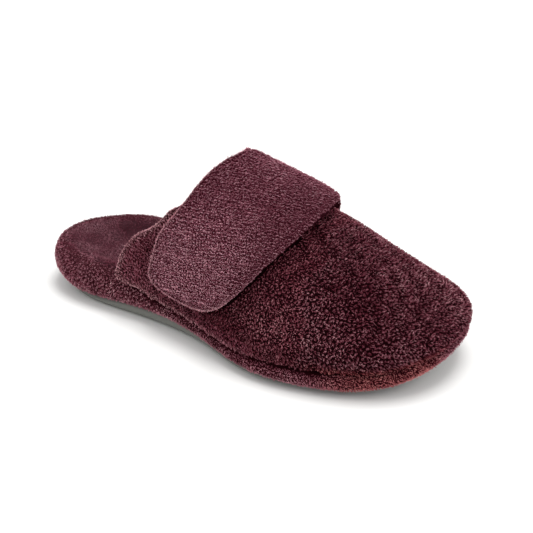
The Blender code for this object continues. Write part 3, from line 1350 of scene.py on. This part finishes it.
@dataclass
class Insole(Piece):
    """The fleece-covered pad inside the slipper.

    Attributes:
        spread: How far the pad's wall is moved out, to close the gap to the wrap.
        heel_spread: What the heel adds to it.
        heel_lift: How far the pad's border is raised at the heel.
        heel_along: Where the heel begins along the foot.
        lift_near: How near the wall the border is raised.
        nap_up: How the nap ends down the wall, by the upward part of the normal.
        nap_along: Where the nap ends under the upper, along the foot.
        wall_near: How near the wall the nap stands up and is shaded.
        wall_shade: How much darker it is there, as painted shade along the border with the wrap.
        wall_tall: How much longer it is there.
        side_out: How the side wall is told from the top, by the outward part of the normal.
        wall_limit: Share of that from which a face is on the wall.
        wall_up: Upward part of the normal under which it is.
        tone: Broad change of tone.
        nap_length: Factor on the length of the nap.
        fleece_short: How much shorter it is on fleece.
        shades: Marks on the fleece: first a painted shadow of the upper's far side, then a darker band,
            lighter streaks where their depth is below zero, and a dark spot at the border.
        pile: The nap.
        finish: The fleece under it.
        loops: The nap's finish.
    """

    name: str = "insole_fleece"
    node: str = "insole"
    slot: str = "insole_fleece"
    grain: float = 0.0015
    passes: int = 3
    spread: float = 0.0012
    heel_spread: float = 0.0022
    heel_lift: float = 0.0014
    heel_along: Ramp = Ramp(-0.045, -0.070)
    lift_near: Ramp = Ramp(0.007, 0.0)
    nap_up: Ramp = Ramp(0.0, 0.2)
    nap_along: Ramp = Ramp(-0.015, -0.025)
    wall_near: Ramp = Ramp(0.0045, 0.0)
    wall_shade: float = 0.12
    wall_tall: float = 0.6
    side_out: Ramp = Ramp(0.0, 0.3)
    wall_limit: float = 0.5
    wall_up: float = 0.4
    tone: Ripple = Ripple(0.15, 0.02, 43)
    nap_length: float = 1.25
    fleece_short: float = 0.4
    shades: tuple[Crease, ...] = (
        # Painted shadow of the upper's far side on the fleece.
        Crease(((-0.090, 0.027, 0.030), (-0.074, 0.012, 0.029)), 0.013, 0.34),
        Crease(((-0.105, 0.012, 0.029), (-0.092, 0.022, 0.030)), 0.007, 0.16),
        Crease(((-0.112, 0.004, 0.029), (-0.094, -0.006, 0.029)), 0.010, -0.14),
        Crease(((-0.108, -0.015, 0.029), (-0.083, -0.010, 0.029)), 0.005, -0.20),
        Crease(((-0.117, -0.019, 0.030), (-0.111, -0.022, 0.030)), 0.0035, 0.35),
    )
    pile: Pile = Pile(0.00062, 0.0017, 0.00024, 1.05, 1.2, 0.0019, 0.25, Nap.TO_HEEL, 17)
    finish: ClothFinish = ClothFinish("insole_fleece", patch_scale=45.0, patch_depth=0.12,
                                      colour=(0.045, 0.015, 0.020), other=(0.060, 0.022, 0.029),
                                      grain_scale=1400.0, grain_height=0.0005)
    loops: PileFinish = PileFinish("insole_nap", patch_scale=70.0, patch_depth=0.40,
                                   root=(0.024, 0.004, 0.007), tip=(0.41, 0.140, 0.182),
                                   fleece=(0.238, 0.089, 0.115))

    def build(self) -> None:
        """Makes and dresses the insole."""
        piece = self.skin()
        mesh = piece.data
        heel = self.widen(mesh)
        self.push(mesh, Form.FAR_RIM)
        points, normals = read_points(mesh), read_normals(mesh)
        fleece = Fleece.share(points)
        write_values(mesh, Attr.FLEECE, fleece)
        still = np.zeros(len(points))
        keep = self.nap_up.of(normals[:, 2]) * self.nap_along.of(points[:, 0])
        beside = self.wall_near.of(distance_to(self.wall(mesh), points)) * heel
        # Painted shade along the pad's border with the wrap.
        tone = 1 + self.tone.at(points) - self.wall_shade * beside - sum(s.sink(points) for s in self.shades)
        fields = {Attr.WARM_AND_SHADE: still, Attr.RIM: still, Attr.FLEECE: fleece, Attr.TONE: tone}
        tall = self.nap_length - self.fleece_short * fleece + self.wall_tall * beside
        loops = self.pile.plant("insole_nap", piece, fields, keep, tall)
        self.place(piece, self.finish.material(), True)
        self.place(loops, self.loops.material(), False)

    def widen(self, mesh: bpy.types.Mesh) -> np.ndarray:
        """Moves the pad's wall out to the wrap, and raises its border at the heel.

        Args:
            mesh: The pad's mesh.

        Returns:
            How much of the heel each vertex takes part in, from 0 to 1.
        """
        points, normals = read_points(mesh), read_normals(mesh)
        heel = self.heel_along.of(points[:, 0])
        side = normals * ON_PLAN * self.sides(mesh)[:, None]
        border = self.lift_near.of(distance_to(self.wall(mesh), points))
        points += side * (self.spread + self.heel_spread * heel)[:, None]
        points[:, 2] += self.heel_lift * heel * border
        write_points(mesh, points)
        return heel

    def sides(self, mesh: bpy.types.Mesh) -> np.ndarray:
        """How far each vertex looks sideways out of the pad, from 0 to 1."""
        way = unit(self.core.outward(read_points(mesh)) * ON_PLAN)
        return self.side_out.of((read_normals(mesh) * way).sum(axis=1))

    def wall(self, mesh: bpy.types.Mesh) -> np.ndarray:
        """Places on the pad's outer wall."""
        steep = read_normals(mesh)[:, 2] < self.wall_up
        return read_points(mesh)[steep & (self.sides(mesh) > self.wall_limit)]


@dataclass
class Upper(Piece):
    """The padded terry upper, with its smooth lining and rolled edge.

    Attributes:
        rim_near: How near the free edge the light rim lies.
        rim_along: Where the rim ends along the foot.
        rim_short: How much shorter its loops are.
        hem_extra: How much wider the rim is at the hem.
        hem_height: Height below which the edge is the hem.
        hem_reach: Distance to the footbed within which the hem is lowered.
        hem_drop: How far its inner side is lowered.
        hem_inside: How the inner side is told from the outer one.
        hem_light: How much lighter the loops of the hem are, partly the roll's own loops and partly painted
            light on the roll.
        hem_near: How near the edge they lie.
        hem_along: Where they end along the foot.
        roll_width: Width of the rolled edge.
        roll_height: How far it is rolled out.
        roll_along: Where the roll ends along the foot.
        roll_out: How the outer side of the roll is told from the inner one.
        pucker: Unevenness of the roll.
        crease_out: How the creased outer face is told from the rest.
        flap_light: How much lighter the flap behind the strap is.
        flap_along: Where it begins along the foot.
        strap_shade: How much darker the loops beside the strap are, as painted shade under its edge.
        strap_near: How near the strap they are so.
        strap_reach: Distance up to which the strap is looked for beside the upper.
        strap_gap: Distance from it within which no loops grow.
        strap_over: Distance up to which the strap is looked for over the upper.
        strap_cover: Distance under it within which no loops grow.
        footbed_reach: Distance up to which the footbed is looked for.
        footbed_gap: Distance from it within which no loops grow.
        loops_out: Outward part of the normal from which loops grow.
        lowest: Upward part of the normal under which none do.
        lining_out: Outward part of the normal under which the lining begins.
        tone: Broad change of tone.
        clumps: Change of tone from clump to clump.
        clump_along: Where the clumps begin along the foot.
        warm_along: Where the hem fades to reddish along the foot.
        warm_across: Where it does so across the foot.
        split: Where the pile of the toe begins along the foot.
        split_wander: How that border strays.
        flap_front: Where the flap's pile ends along the foot.
        roll_front: Where it ends on the rolled edge.
        toe_pile: Loops of the toe.
        side_pile: Loops of the side.
        flap_pile: Loops of the flap and the rolled edge.
        flap_corner: Move of the flap's lower corner.
        flap_edge: Move of its rear edge.
        flap_top: Move of its top.
        creases: Troughs in the vamp.
        shades: Painted shade on the vamp's top, and painted light on its near side where their depth is
            below zero.
        ground: The cloth under the loops, dark as painted shade between them.
        lining: The cloth inside.
        flap_loops: Finish of the flap's loops.
        side_loops: Finish of the side's loops.
        toe_loops: Finish of the toe's loops.
    """

    name: str = "upper_shell"
    node: str = "upper"
    slot: str = "upper_terry"
    grain: float = 0.0013
    passes: int = 5
    rim_near: Ramp = Ramp(0.0034, 0.0013)
    rim_along: Ramp = Ramp(0.055, 0.015)
    rim_short: float = 0.25
    hem_extra: float = 0.0008
    hem_height: Ramp = Ramp(0.036, 0.024)
    hem_reach: float = 0.0040
    hem_drop: float = 0.0022
    hem_inside: Ramp = Ramp(0.15, -0.25)
    hem_light: float = 0.16
    hem_near: Ramp = Ramp(0.009, 0.004)
    hem_along: Ramp = Ramp(0.050, 0.020)
    roll_width: float = 0.0075
    roll_height: float = 0.0032
    roll_along: Ramp = Ramp(0.045, 0.010)
    roll_out: Ramp = Ramp(-0.3, 0.1)
    pucker: Ripple = Ripple(0.0006, 0.009, 3)
    crease_out: Ramp = Ramp(0.2, 0.6)
    flap_light: float = 0.34
    flap_along: Ramp = Ramp(0.0, -0.04)
    strap_shade: float = 0.30
    strap_near: Ramp = Ramp(0.0032, 0.0010)
    strap_reach: float = 0.005
    strap_gap: float = 0.0018
    strap_over: float = 0.015
    strap_cover: float = 0.004
    footbed_reach: float = 0.003
    footbed_gap: float = 0.0003
    loops_out: float = -0.2
    lowest: float = -0.6
    lining_out: float = -0.1
    tone: Ripple = Ripple(0.10, 0.045, 47)
    clumps: Ripple = Ripple(0.08, 0.0065, 61)
    clump_along: Ramp = Ramp(-0.03, 0.0)
    warm_along: Ramp = Ramp(0.055, 0.085)
    warm_across: Ramp = Ramp(0.0, -0.02)
    split: float = 0.060
    split_wander: Ripple = Ripple(0.005, 0.02, 67)
    flap_front: float = -0.010
    roll_front: float = 0.035
    toe_pile: Pile = Pile(0.00059, 0.0020, 0.00022, 0.80, 1.3, 0.0017, 0.58, Nap.TO_TOE, 21, gap_painted_shade=0.62,
                          mottle=0.26, spread=0.42, stray=0.6)
    side_pile: Pile = Pile(0.00059, 0.0019, 0.00022, 0.88, 1.0, 0.0016, 0.46, Nap.TO_TOE, 22, gap_painted_shade=0.55,
                           mottle=0.22, spread=0.42, stray=0.5)
    flap_pile: Pile = Pile(0.00056, 0.0020, 0.00021, 1.00, 0.45, 0.0014, 0.32, Nap.SLANT, 23, mottle=0.15,
                           spread=0.40, row_tone=0.40, row_rise=0.20, row_wander=1.1, stray=0.25)
    flap_corner: Push = Push((-0.070, -0.032, 0.027), (0.010, 0.010, 0.010), (-0.0010, -0.0010, -0.0030))
    flap_edge: Push = Push((-0.056, -0.026, 0.049), (0.013, 0.012, 0.013), (-0.0026, 0.0, 0.0034))
    flap_top: Push = Push((-0.036, -0.017, 0.069), (0.011, 0.012, 0.012), (-0.0024, 0.0004, 0.0034))
    creases: tuple[Crease, ...] = (
        Crease(((0.045, -0.052, 0.036), (0.062, -0.038, 0.052), (0.072, -0.015, 0.062)), 0.010, 0.0012),
        Crease(((0.085, 0.035, 0.045), (0.096, 0.010, 0.048), (0.100, -0.015, 0.044)), 0.012, 0.0010),
    )
    shades: tuple[Crease, ...] = (
        # Painted shade on the vamp's top.
        Crease(((0.076, 0.010, 0.062), (0.086, -0.022, 0.050), (0.098, -0.034, 0.036)), 0.016, 0.20),
        # Painted light on the vamp's near side.
        Crease(((0.034, -0.051, 0.034), (0.066, -0.047, 0.034)), 0.015, -0.30),
    )
    ground: ClothFinish = ClothFinish("upper_ground", colour=(0.007, 0.001, 0.0016),
                                      other=(0.060, 0.020, 0.025))
    lining: ClothFinish = ClothFinish("upper_lining", colour=(0.075, 0.027, 0.034),
                                      other=(0.075, 0.027, 0.034), grain_scale=1100.0)
    flap_loops: PileFinish = PileFinish("upper_terry_flap", root=(0.012, 0.0014, 0.003),
                                        tip=(0.380, 0.103, 0.145), rim=(0.52, 0.21, 0.25))
    side_loops: PileFinish = PileFinish("upper_terry_side", root=(0.012, 0.0014, 0.003),
                                        tip=(0.376, 0.121, 0.152), rim=(0.52, 0.21, 0.25))
    toe_loops: PileFinish = PileFinish("upper_terry_toe", root=(0.012, 0.0014, 0.003),
                                       tip=(0.400, 0.157, 0.190), warm_and_shade=(0.46, 0.130, 0.134))

    def build(self) -> None:
        """Makes and dresses the upper."""
        shell = self.skin()
        mesh = shell.data
        self.push(mesh, Form.FAR_COLLAR, Form.VAMP_TOP, self.flap_corner, self.flap_edge, self.flap_top)
        self.crease(mesh, self.creases, self.crease_out.of(self.facing(mesh)))
        facing, edge = self.facing(mesh), self.inset(mesh)
        self.roll(mesh, edge)
        self.settle(mesh)
        points, normals = read_points(mesh), read_normals(mesh)
        reach = edge - self.hem_extra * self.hem_height.of(points[:, 2])
        # The light rim is partly a painted sheen on the rolled edge, in the loops and in the ground.
        rim = self.rim_near.of(reach) * self.rim_along.of(points[:, 0])
        write_values(mesh, Attr.FLEECE, rim)
        beside = clearance(solid_tree("strap"), points, self.strap_reach)
        keep = self.terry_share(points, normals, facing, beside)
        hem = self.hem_near.of(edge)
        warm_and_shade = hem * self.warm_along.of(points[:, 0]) * self.warm_across.of(points[:, 1])
        tone = self.tones(points, beside, hem)
        fields = {Attr.RIM: rim, Attr.WARM_AND_SHADE: warm_and_shade, Attr.FLEECE: np.zeros(len(points)), Attr.TONE: tone}
        rolled = (edge < self.roll_width) & (points[:, 0] < self.roll_front)
        flap = (points[:, 0] < self.flap_front) | rolled
        front = points[:, 0] > self.split + self.split_wander.at(points)
        parts = (
            ("toe", self.toe_pile, self.toe_loops, front),
            ("side", self.side_pile, self.side_loops, ~front & ~flap),
            ("flap", self.flap_pile, self.flap_loops, flap),
        )
        for name, pile, finish, part in parts:
            loops = pile.plant(f"upper_loops_{name}", shell, fields, keep * part, 1 - self.rim_short * rim)
            self.place(loops, finish.material(), False)
        self.place(shell, self.ground.material(), True)
        self.line(mesh, facing)

    def terry_share(self, points: np.ndarray, normals: np.ndarray, facing: np.ndarray, beside: np.ndarray
                    ) -> np.ndarray:
        """Where loops grow.

        Args:
            points: Places, one a row.
            normals: The upper's normals there.
            facing: How far each place looks out of the slipper.
            beside: Distance of each place from the strap.

        Returns:
            1 where loops grow, 0 inside the upper and where it is hidden.
        """
        over = covered(solid_tree("strap"), points, normals, self.strap_over)
        clear = clearance(solid_tree("footbed"), points, self.footbed_reach)
        open_air = (over > self.strap_cover) & (beside > self.strap_gap) & (clear > self.footbed_gap)
        return ((facing > self.loops_out) & open_air & (normals[:, 2] > self.lowest)).astype(float)

    def tones(self, points: np.ndarray, beside: np.ndarray, hem: np.ndarray) -> np.ndarray:
        """How light the loops are.

        Args:
            points: Places, one a row.
            beside: Distance of each place from the strap.
            hem: How close to the edge each place is, from 0 to 1.

        Returns:
            One factor for each place.
        """
        tone = 1 + self.tone.at(points) + self.flap_light * self.flap_along.of(points[:, 0])
        # Painted shade and painted light on the vamp.
        tone -= sum(s.sink(points) for s in self.shades)
        tone += self.clumps.at(points) * self.clump_along.of(points[:, 0])
        # Painted shade on the loops beside the strap's edge.
        tone -= self.strap_shade * self.strap_near.of(beside)
        # Lighter hem: partly painted light on its roll.
        return tone + self.hem_light * hem * self.hem_along.of(points[:, 0])

    def roll(self, mesh: bpy.types.Mesh, edge: np.ndarray) -> None:
        """Rounds the free edge outwards over the footbed's wall, behind the vamp.

        Args:
            mesh: The upper's shell.
            edge: Distance of each vertex from the free edge.
        """
        points = read_points(mesh)
        near = Ramp(self.roll_width, 0.0).of(edge)
        rear = self.roll_along.of(points[:, 0]) * self.roll_out.of(self.facing(mesh))
        height = (self.roll_height + self.pucker.at(points)) * near * rear
        flat = self.core.outward(points) * ON_PLAN
        write_points(mesh, points + unit(flat) * height[:, None])

    def settle(self, mesh: bpy.types.Mesh) -> None:
        """Lowers the inner side of the hem onto the footbed, so that no light shows under it.

        Args:
            mesh: The upper's shell.
        """
        points = read_points(mesh)
        above = clearance(solid_tree("footbed"), points, self.hem_reach)
        near = Ramp(self.hem_reach, 0.5 * self.hem_reach).of(above)
        points[:, 2] -= self.hem_drop * near * self.hem_inside.of(self.facing(mesh))
        write_points(mesh, points)

    def line(self, mesh: bpy.types.Mesh, facing: np.ndarray) -> None:
        """Gives the faces inside the upper the lining's finish.

        Args:
            mesh: The upper's shell.
            facing: How far each vertex looks out of the slipper.
        """
        mesh.materials.append(self.lining.material())
        inside = [bool(facing[list(p.vertices)].mean() < self.lining_out) for p in mesh.polygons]
        mesh.polygons.foreach_set("material_index", np.array(inside, np.int32))


@dataclass
class Strap(Piece):
    """The padded wrap strap over the instep, with a rolled rim and a groove beside it.

    Attributes:
        rim_near: How near the edge the light rim lies.
        rim_along: Where the rim ends along the foot.
        rim_short: How much shorter its loops are.
        swell: How far the strap is padded out.
        groove_inset: Distance of the groove from the edge.
        groove_width: Half width of the groove.
        groove_depth: How deep it is.
        groove_out: Outward part of the normal from which it is pressed in.
        groove_shade: How much darker its loops are, as painted shade in the groove.
        groove_short: How much shorter they are.
        edge_wave: Unevenness of the front edge.
        wave_near: How near the edge it is uneven.
        front_along: Where the front edge begins along the foot.
        bare_across: Where the front edge has no loops under it, across the foot.
        bare_out: How much further out the loops begin there.
        loops_out: Outward part of the normal from which loops grow elsewhere.
        upper_reach: Distance up to which the upper is looked for.
        upper_gap: Distance from it within which no loops grow.
        lip_near: How near the front edge the loops are short.
        lip_short: How much shorter they are there.
        tone: Broad change of tone.
        foot_painted_light: Painted light on the strap's lower end: how much lighter it is.
        foot_down: Heights between which it lightens.
        front_painted_shade: Where painted shade darkens the strap to the front, along the foot.
        top_painted_shade: Heights between which painted shade darkens it to the top.
        top_shade_share: How far it does so there.
        rear_edge: Move of the rear edge at the top.
        rear_side: Move of the rear edge at the side.
        front_fold: Move of the front edge on the far side.
        fold_corner: Move of the fold over it.
        top_corner: Move of the highest corner.
        pile: The loops.
        ground: The cloth under them, dark as painted shade between them.
        loops: Their finish.
    """

    name: str = "strap_shell"
    node: str = "strap"
    slot: str = "strap_terry"
    grain: float = 0.0012
    passes: int = 12
    rim_near: Ramp = Ramp(0.0030, 0.0010)
    rim_along: Ramp = Ramp(0.030, 0.005)
    rim_short: float = 0.15
    swell: float = 0.0006
    groove_inset: float = 0.0034
    groove_width: float = 0.0008
    groove_depth: float = 0.0010
    groove_out: float = 0.3
    groove_shade: float = 0.4
    groove_short: float = 0.3
    edge_wave: Ripple = Ripple(0.0003, 0.006, 59)
    wave_near: Ramp = Ramp(0.008, 0.0)
    front_along: Ramp = Ramp(0.0, 0.020)
    bare_across: Ramp = Ramp(0.036, 0.024)
    bare_out: float = 0.4
    loops_out: float = -0.3
    upper_reach: float = 0.004
    upper_gap: float = 0.001
    lip_near: Ramp = Ramp(0.003, 0.001)
    lip_short: float = 0.4
    tone: Ripple = Ripple(0.05, 0.04, 53)
    foot_painted_light: float = 0.47
    foot_down: Ramp = Ramp(0.090, 0.050)
    front_painted_shade: Ramp = Ramp(0.0, 0.040)
    top_painted_shade: Ramp = Ramp(0.070, 0.095)
    top_shade_share: float = 0.55
    rear_edge: Push = Push((-0.027, -0.010, 0.085), (0.013, 0.020, 0.017), (-0.0008, 0.0, 0.0006))
    rear_side: Push = Push((-0.037, -0.026, 0.060), (0.013, 0.016, 0.017), (-0.0046, 0.0, 0.0012))
    front_fold: Push = Push((0.046, 0.036, 0.068), (0.012, 0.016, 0.010), (0.0020, 0.0, 0.0))
    fold_corner: Push = Push((0.048, 0.032, 0.084), (0.009, 0.012, 0.009), (-0.0017, 0.0, -0.0010))
    top_corner: Push = Push((-0.008, 0.006, 0.106), (0.007, 0.012, 0.006), (0.0002, 0.0, -0.0018))
    pile: Pile = Pile(0.00054, 0.0019, 0.00020, 1.12, 0.30, 0.0014, 0.12, Nap.ALONG, 31, mottle=0.15,
                      spread=0.36, row_tone=0.36, row_rise=0.18, row_way=(-0.05, 0.65, 0.76), row_wander=1.1,
                      stray=0.25)
    ground: ClothFinish = ClothFinish("strap_ground", colour=(0.026, 0.004, 0.007),
                                      other=(0.026, 0.004, 0.007))
    # The strap's second loop colour is darker than its tip: painted shade on its front and top.
    loops: PileFinish = PileFinish("strap_terry", patch_depth=0.04, root=(0.026, 0.004, 0.007),
                                   tip=(0.58, 0.224, 0.292), rim=(0.66, 0.275, 0.335),
                                   warm_and_shade=(0.345, 0.125, 0.166))

    def build(self) -> None:
        """Makes and dresses the strap."""
        shell = self.skin()
        mesh = shell.data
        self.push(mesh, self.rear_edge, self.rear_side, self.front_fold, self.fold_corner, self.top_corner)
        facing, inset = self.facing(mesh), self.inset(mesh)
        groove = self.pad(mesh, facing, inset)
        points = read_points(mesh)
        # The light rim is partly a painted sheen on the strap's rolled edge.
        rim = self.rim_near.of(inset) * self.rim_along.of(points[:, 0])
        over = clearance(solid_tree("upper"), points, self.upper_reach)
        front = self.front_along.of(points[:, 0])
        bare = front * self.bare_across.of(points[:, 1])
        keep = ((facing > self.loops_out + self.bare_out * bare) & (over > self.upper_gap)).astype(float)
        lip = front * self.lip_near.of(inset)
        still = np.zeros(len(points))
        write_values(mesh, Attr.FLEECE, still)
        # Painted shade in the groove.
        tone = 1 + self.tone.at(points) - self.groove_shade * groove
        # Painted light on the strap's lower end.
        tone += self.foot_painted_light * self.foot_down.of(points[:, 2])
        # Painted shade darkens the strap's front and top, through its second loop colour.
        warm_and_shade = np.maximum(self.front_painted_shade.of(points[:, 0]), self.top_shade_share * self.top_painted_shade.of(points[:, 2]))
        fields = {Attr.RIM: rim, Attr.WARM_AND_SHADE: warm_and_shade, Attr.FLEECE: still, Attr.TONE: tone}
        tall = 1 - self.rim_short * rim - self.groove_short * groove - self.lip_short * lip
        loops = self.pile.plant("strap_loops", shell, fields, keep, tall)
        self.place(shell, self.ground.material(), True)
        self.place(loops, self.loops.material(), False)

    def pad(self, mesh: bpy.types.Mesh, facing: np.ndarray, inset: np.ndarray) -> np.ndarray:
        """Makes the front edge uneven, pads the strap out and presses the groove in.

        Args:
            mesh: The strap's shell.
            facing: How far each vertex looks out of the slipper.
            inset: Distance of each vertex from the edge.

        Returns:
            How much of the groove each vertex takes part in, from 0 to 1.
        """
        points = read_points(mesh)
        wavy = self.wave_near.of(inset) * self.front_along.of(points[:, 0])
        points[:, 0] += self.edge_wave.at(points) * wavy
        across = (inset - self.groove_inset) / self.groove_width
        groove = np.exp(-(across**2)) * (facing > self.groove_out)
        write_points(mesh, points + read_normals(mesh) * (self.swell - self.groove_depth * groove)[:, None])
        return groove


# Studio


@dataclass(frozen=True)
class Lamp:
    """A broad lamp far off.

    Attributes:
        name: The lamp's name.
        strength: How bright it is.
        spread: How wide it looks from the slipper, in degrees.
        source: Where it stands, as a direction from the slipper.
    """

    name: str
    strength: float
    spread: float
    source: Place

    def hang(self) -> None:
        """Puts the lamp into the scene, turned to the slipper."""
        light = bpy.data.lights.new(self.name, "SUN")
        light.energy = self.strength
        light.angle = radians(self.spread)
        lamp = bpy.data.objects.new(self.name, light)
        lamp.location = self.source
        lamp.rotation_euler = (-Vector(self.source)).to_track_quat("-Z", "Y").to_euler()
        bpy.context.scene.collection.objects.link(lamp)


@dataclass(frozen=True)
class Studio:
    """Pale floor, soft light and the camera at the photograph's angle.

    Attributes:
        azimuth: Camera's angle round the slipper, in degrees.
        elevation: Camera's angle above the floor, in degrees.
        distance: Distance from the camera to the point that it looks at.
        aim: That point.
        lens: Focal length, in millimetres.
        sensor: Width of the picture behind the lens, in millimetres.
        shift: Shift of the picture, in picture widths.
        floor_size: Length of the floor's sides.
        floor_cells: Cells along a side of it.
        floor_colour: Its colour.
        sky: How bright the even sky is.
        lamps: The broad lamps.
    """

    azimuth: float = 30.0
    elevation: float = 28.0
    distance: float = 0.700
    aim: Place = (0.0, 0.0, 0.040)
    lens: float = 80.8
    sensor: float = 36.0
    shift: tuple[float, float] = (0.0422, -0.0113)
    floor_size: float = 12.0
    floor_cells: int = 4
    floor_colour: Colour = (0.76, 0.76, 0.75)
    sky: float = 0.80
    lamps: tuple[Lamp, ...] = (
        Lamp("key", 2.0, 30.0, (0.06, 0.17, 1.00)),
        Lamp("right", 0.9, 45.0, (0.90, 0.00, 0.80)),
        Lamp("left", 0.65, 60.0, (-0.80, -0.20, 0.80)),
    )

    def build(self) -> None:
        """Makes floor, light and camera."""
        scene = bpy.context.scene
        scene.view_settings.view_transform = "Standard"
        self.make_floor()
        self.make_light()
        self.make_camera()

    def make_floor(self) -> None:
        """Lays the floor under the slipper."""
        builder = bmesh.new()
        cells = self.floor_cells
        bmesh.ops.create_grid(builder, x_segments=cells, y_segments=cells, size=self.floor_size / 2)
        mesh = bpy.data.meshes.new("floor")
        builder.to_mesh(mesh)
        builder.free()
        material = bpy.data.materials.new("floor_paper")
        material.use_nodes = True
        shader = material.node_tree.nodes["Principled BSDF"]
        shader.inputs["Base Color"].default_value = (*self.floor_colour, 1.0)
        shader.inputs["Roughness"].default_value = 1.0
        shader.inputs["Specular IOR Level"].default_value = 0.0
        mesh.materials.append(material)
        link("floor", mesh)

    def make_light(self) -> None:
        """Sets an even white sky and the broad lamps."""
        world = bpy.data.worlds.new("sky")
        world.use_nodes = True
        background = world.node_tree.nodes["Background"]
        background.inputs["Color"].default_value = (1.0, 1.0, 1.0, 1.0)
        background.inputs["Strength"].default_value = self.sky
        bpy.context.scene.world = world
        for lamp in self.lamps:
            lamp.hang()

    def make_camera(self) -> None:
        """Sets up the camera."""
        turn, tilt = radians(self.azimuth), radians(self.elevation)
        back = Vector((sin(turn) * cos(tilt), -cos(turn) * cos(tilt), sin(tilt)))
        lens = bpy.data.cameras.new("camera")
        lens.lens = self.lens
        lens.sensor_width = self.sensor
        lens.shift_x, lens.shift_y = self.shift
        camera = bpy.data.objects.new("camera", lens)
        camera.location = Vector(self.aim) + back * self.distance
        camera.rotation_euler = (-back).to_track_quat("-Z", "Y").to_euler()
        bpy.context.scene.collection.objects.link(camera)
        bpy.context.scene.camera = camera


def corners(box: tuple[Vector, Vector]) -> list[list[float]]:
    """A box as plain lists of numbers."""
    return [list(corner) for corner in box]


def main() -> None:
    """Builds and dresses the slipper, then sets the studio."""
    logging.basicConfig(level=logging.INFO, format="%(name)s: %(message)s")
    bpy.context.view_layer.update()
    Effects.nap_patches()
    Effects.yarn_grain()
    for piece in (Outsole(), Footbed(), Insole(), Upper(), Strap()):
        piece.build()
    Studio().build()


if __name__ == "__main__":
    main()
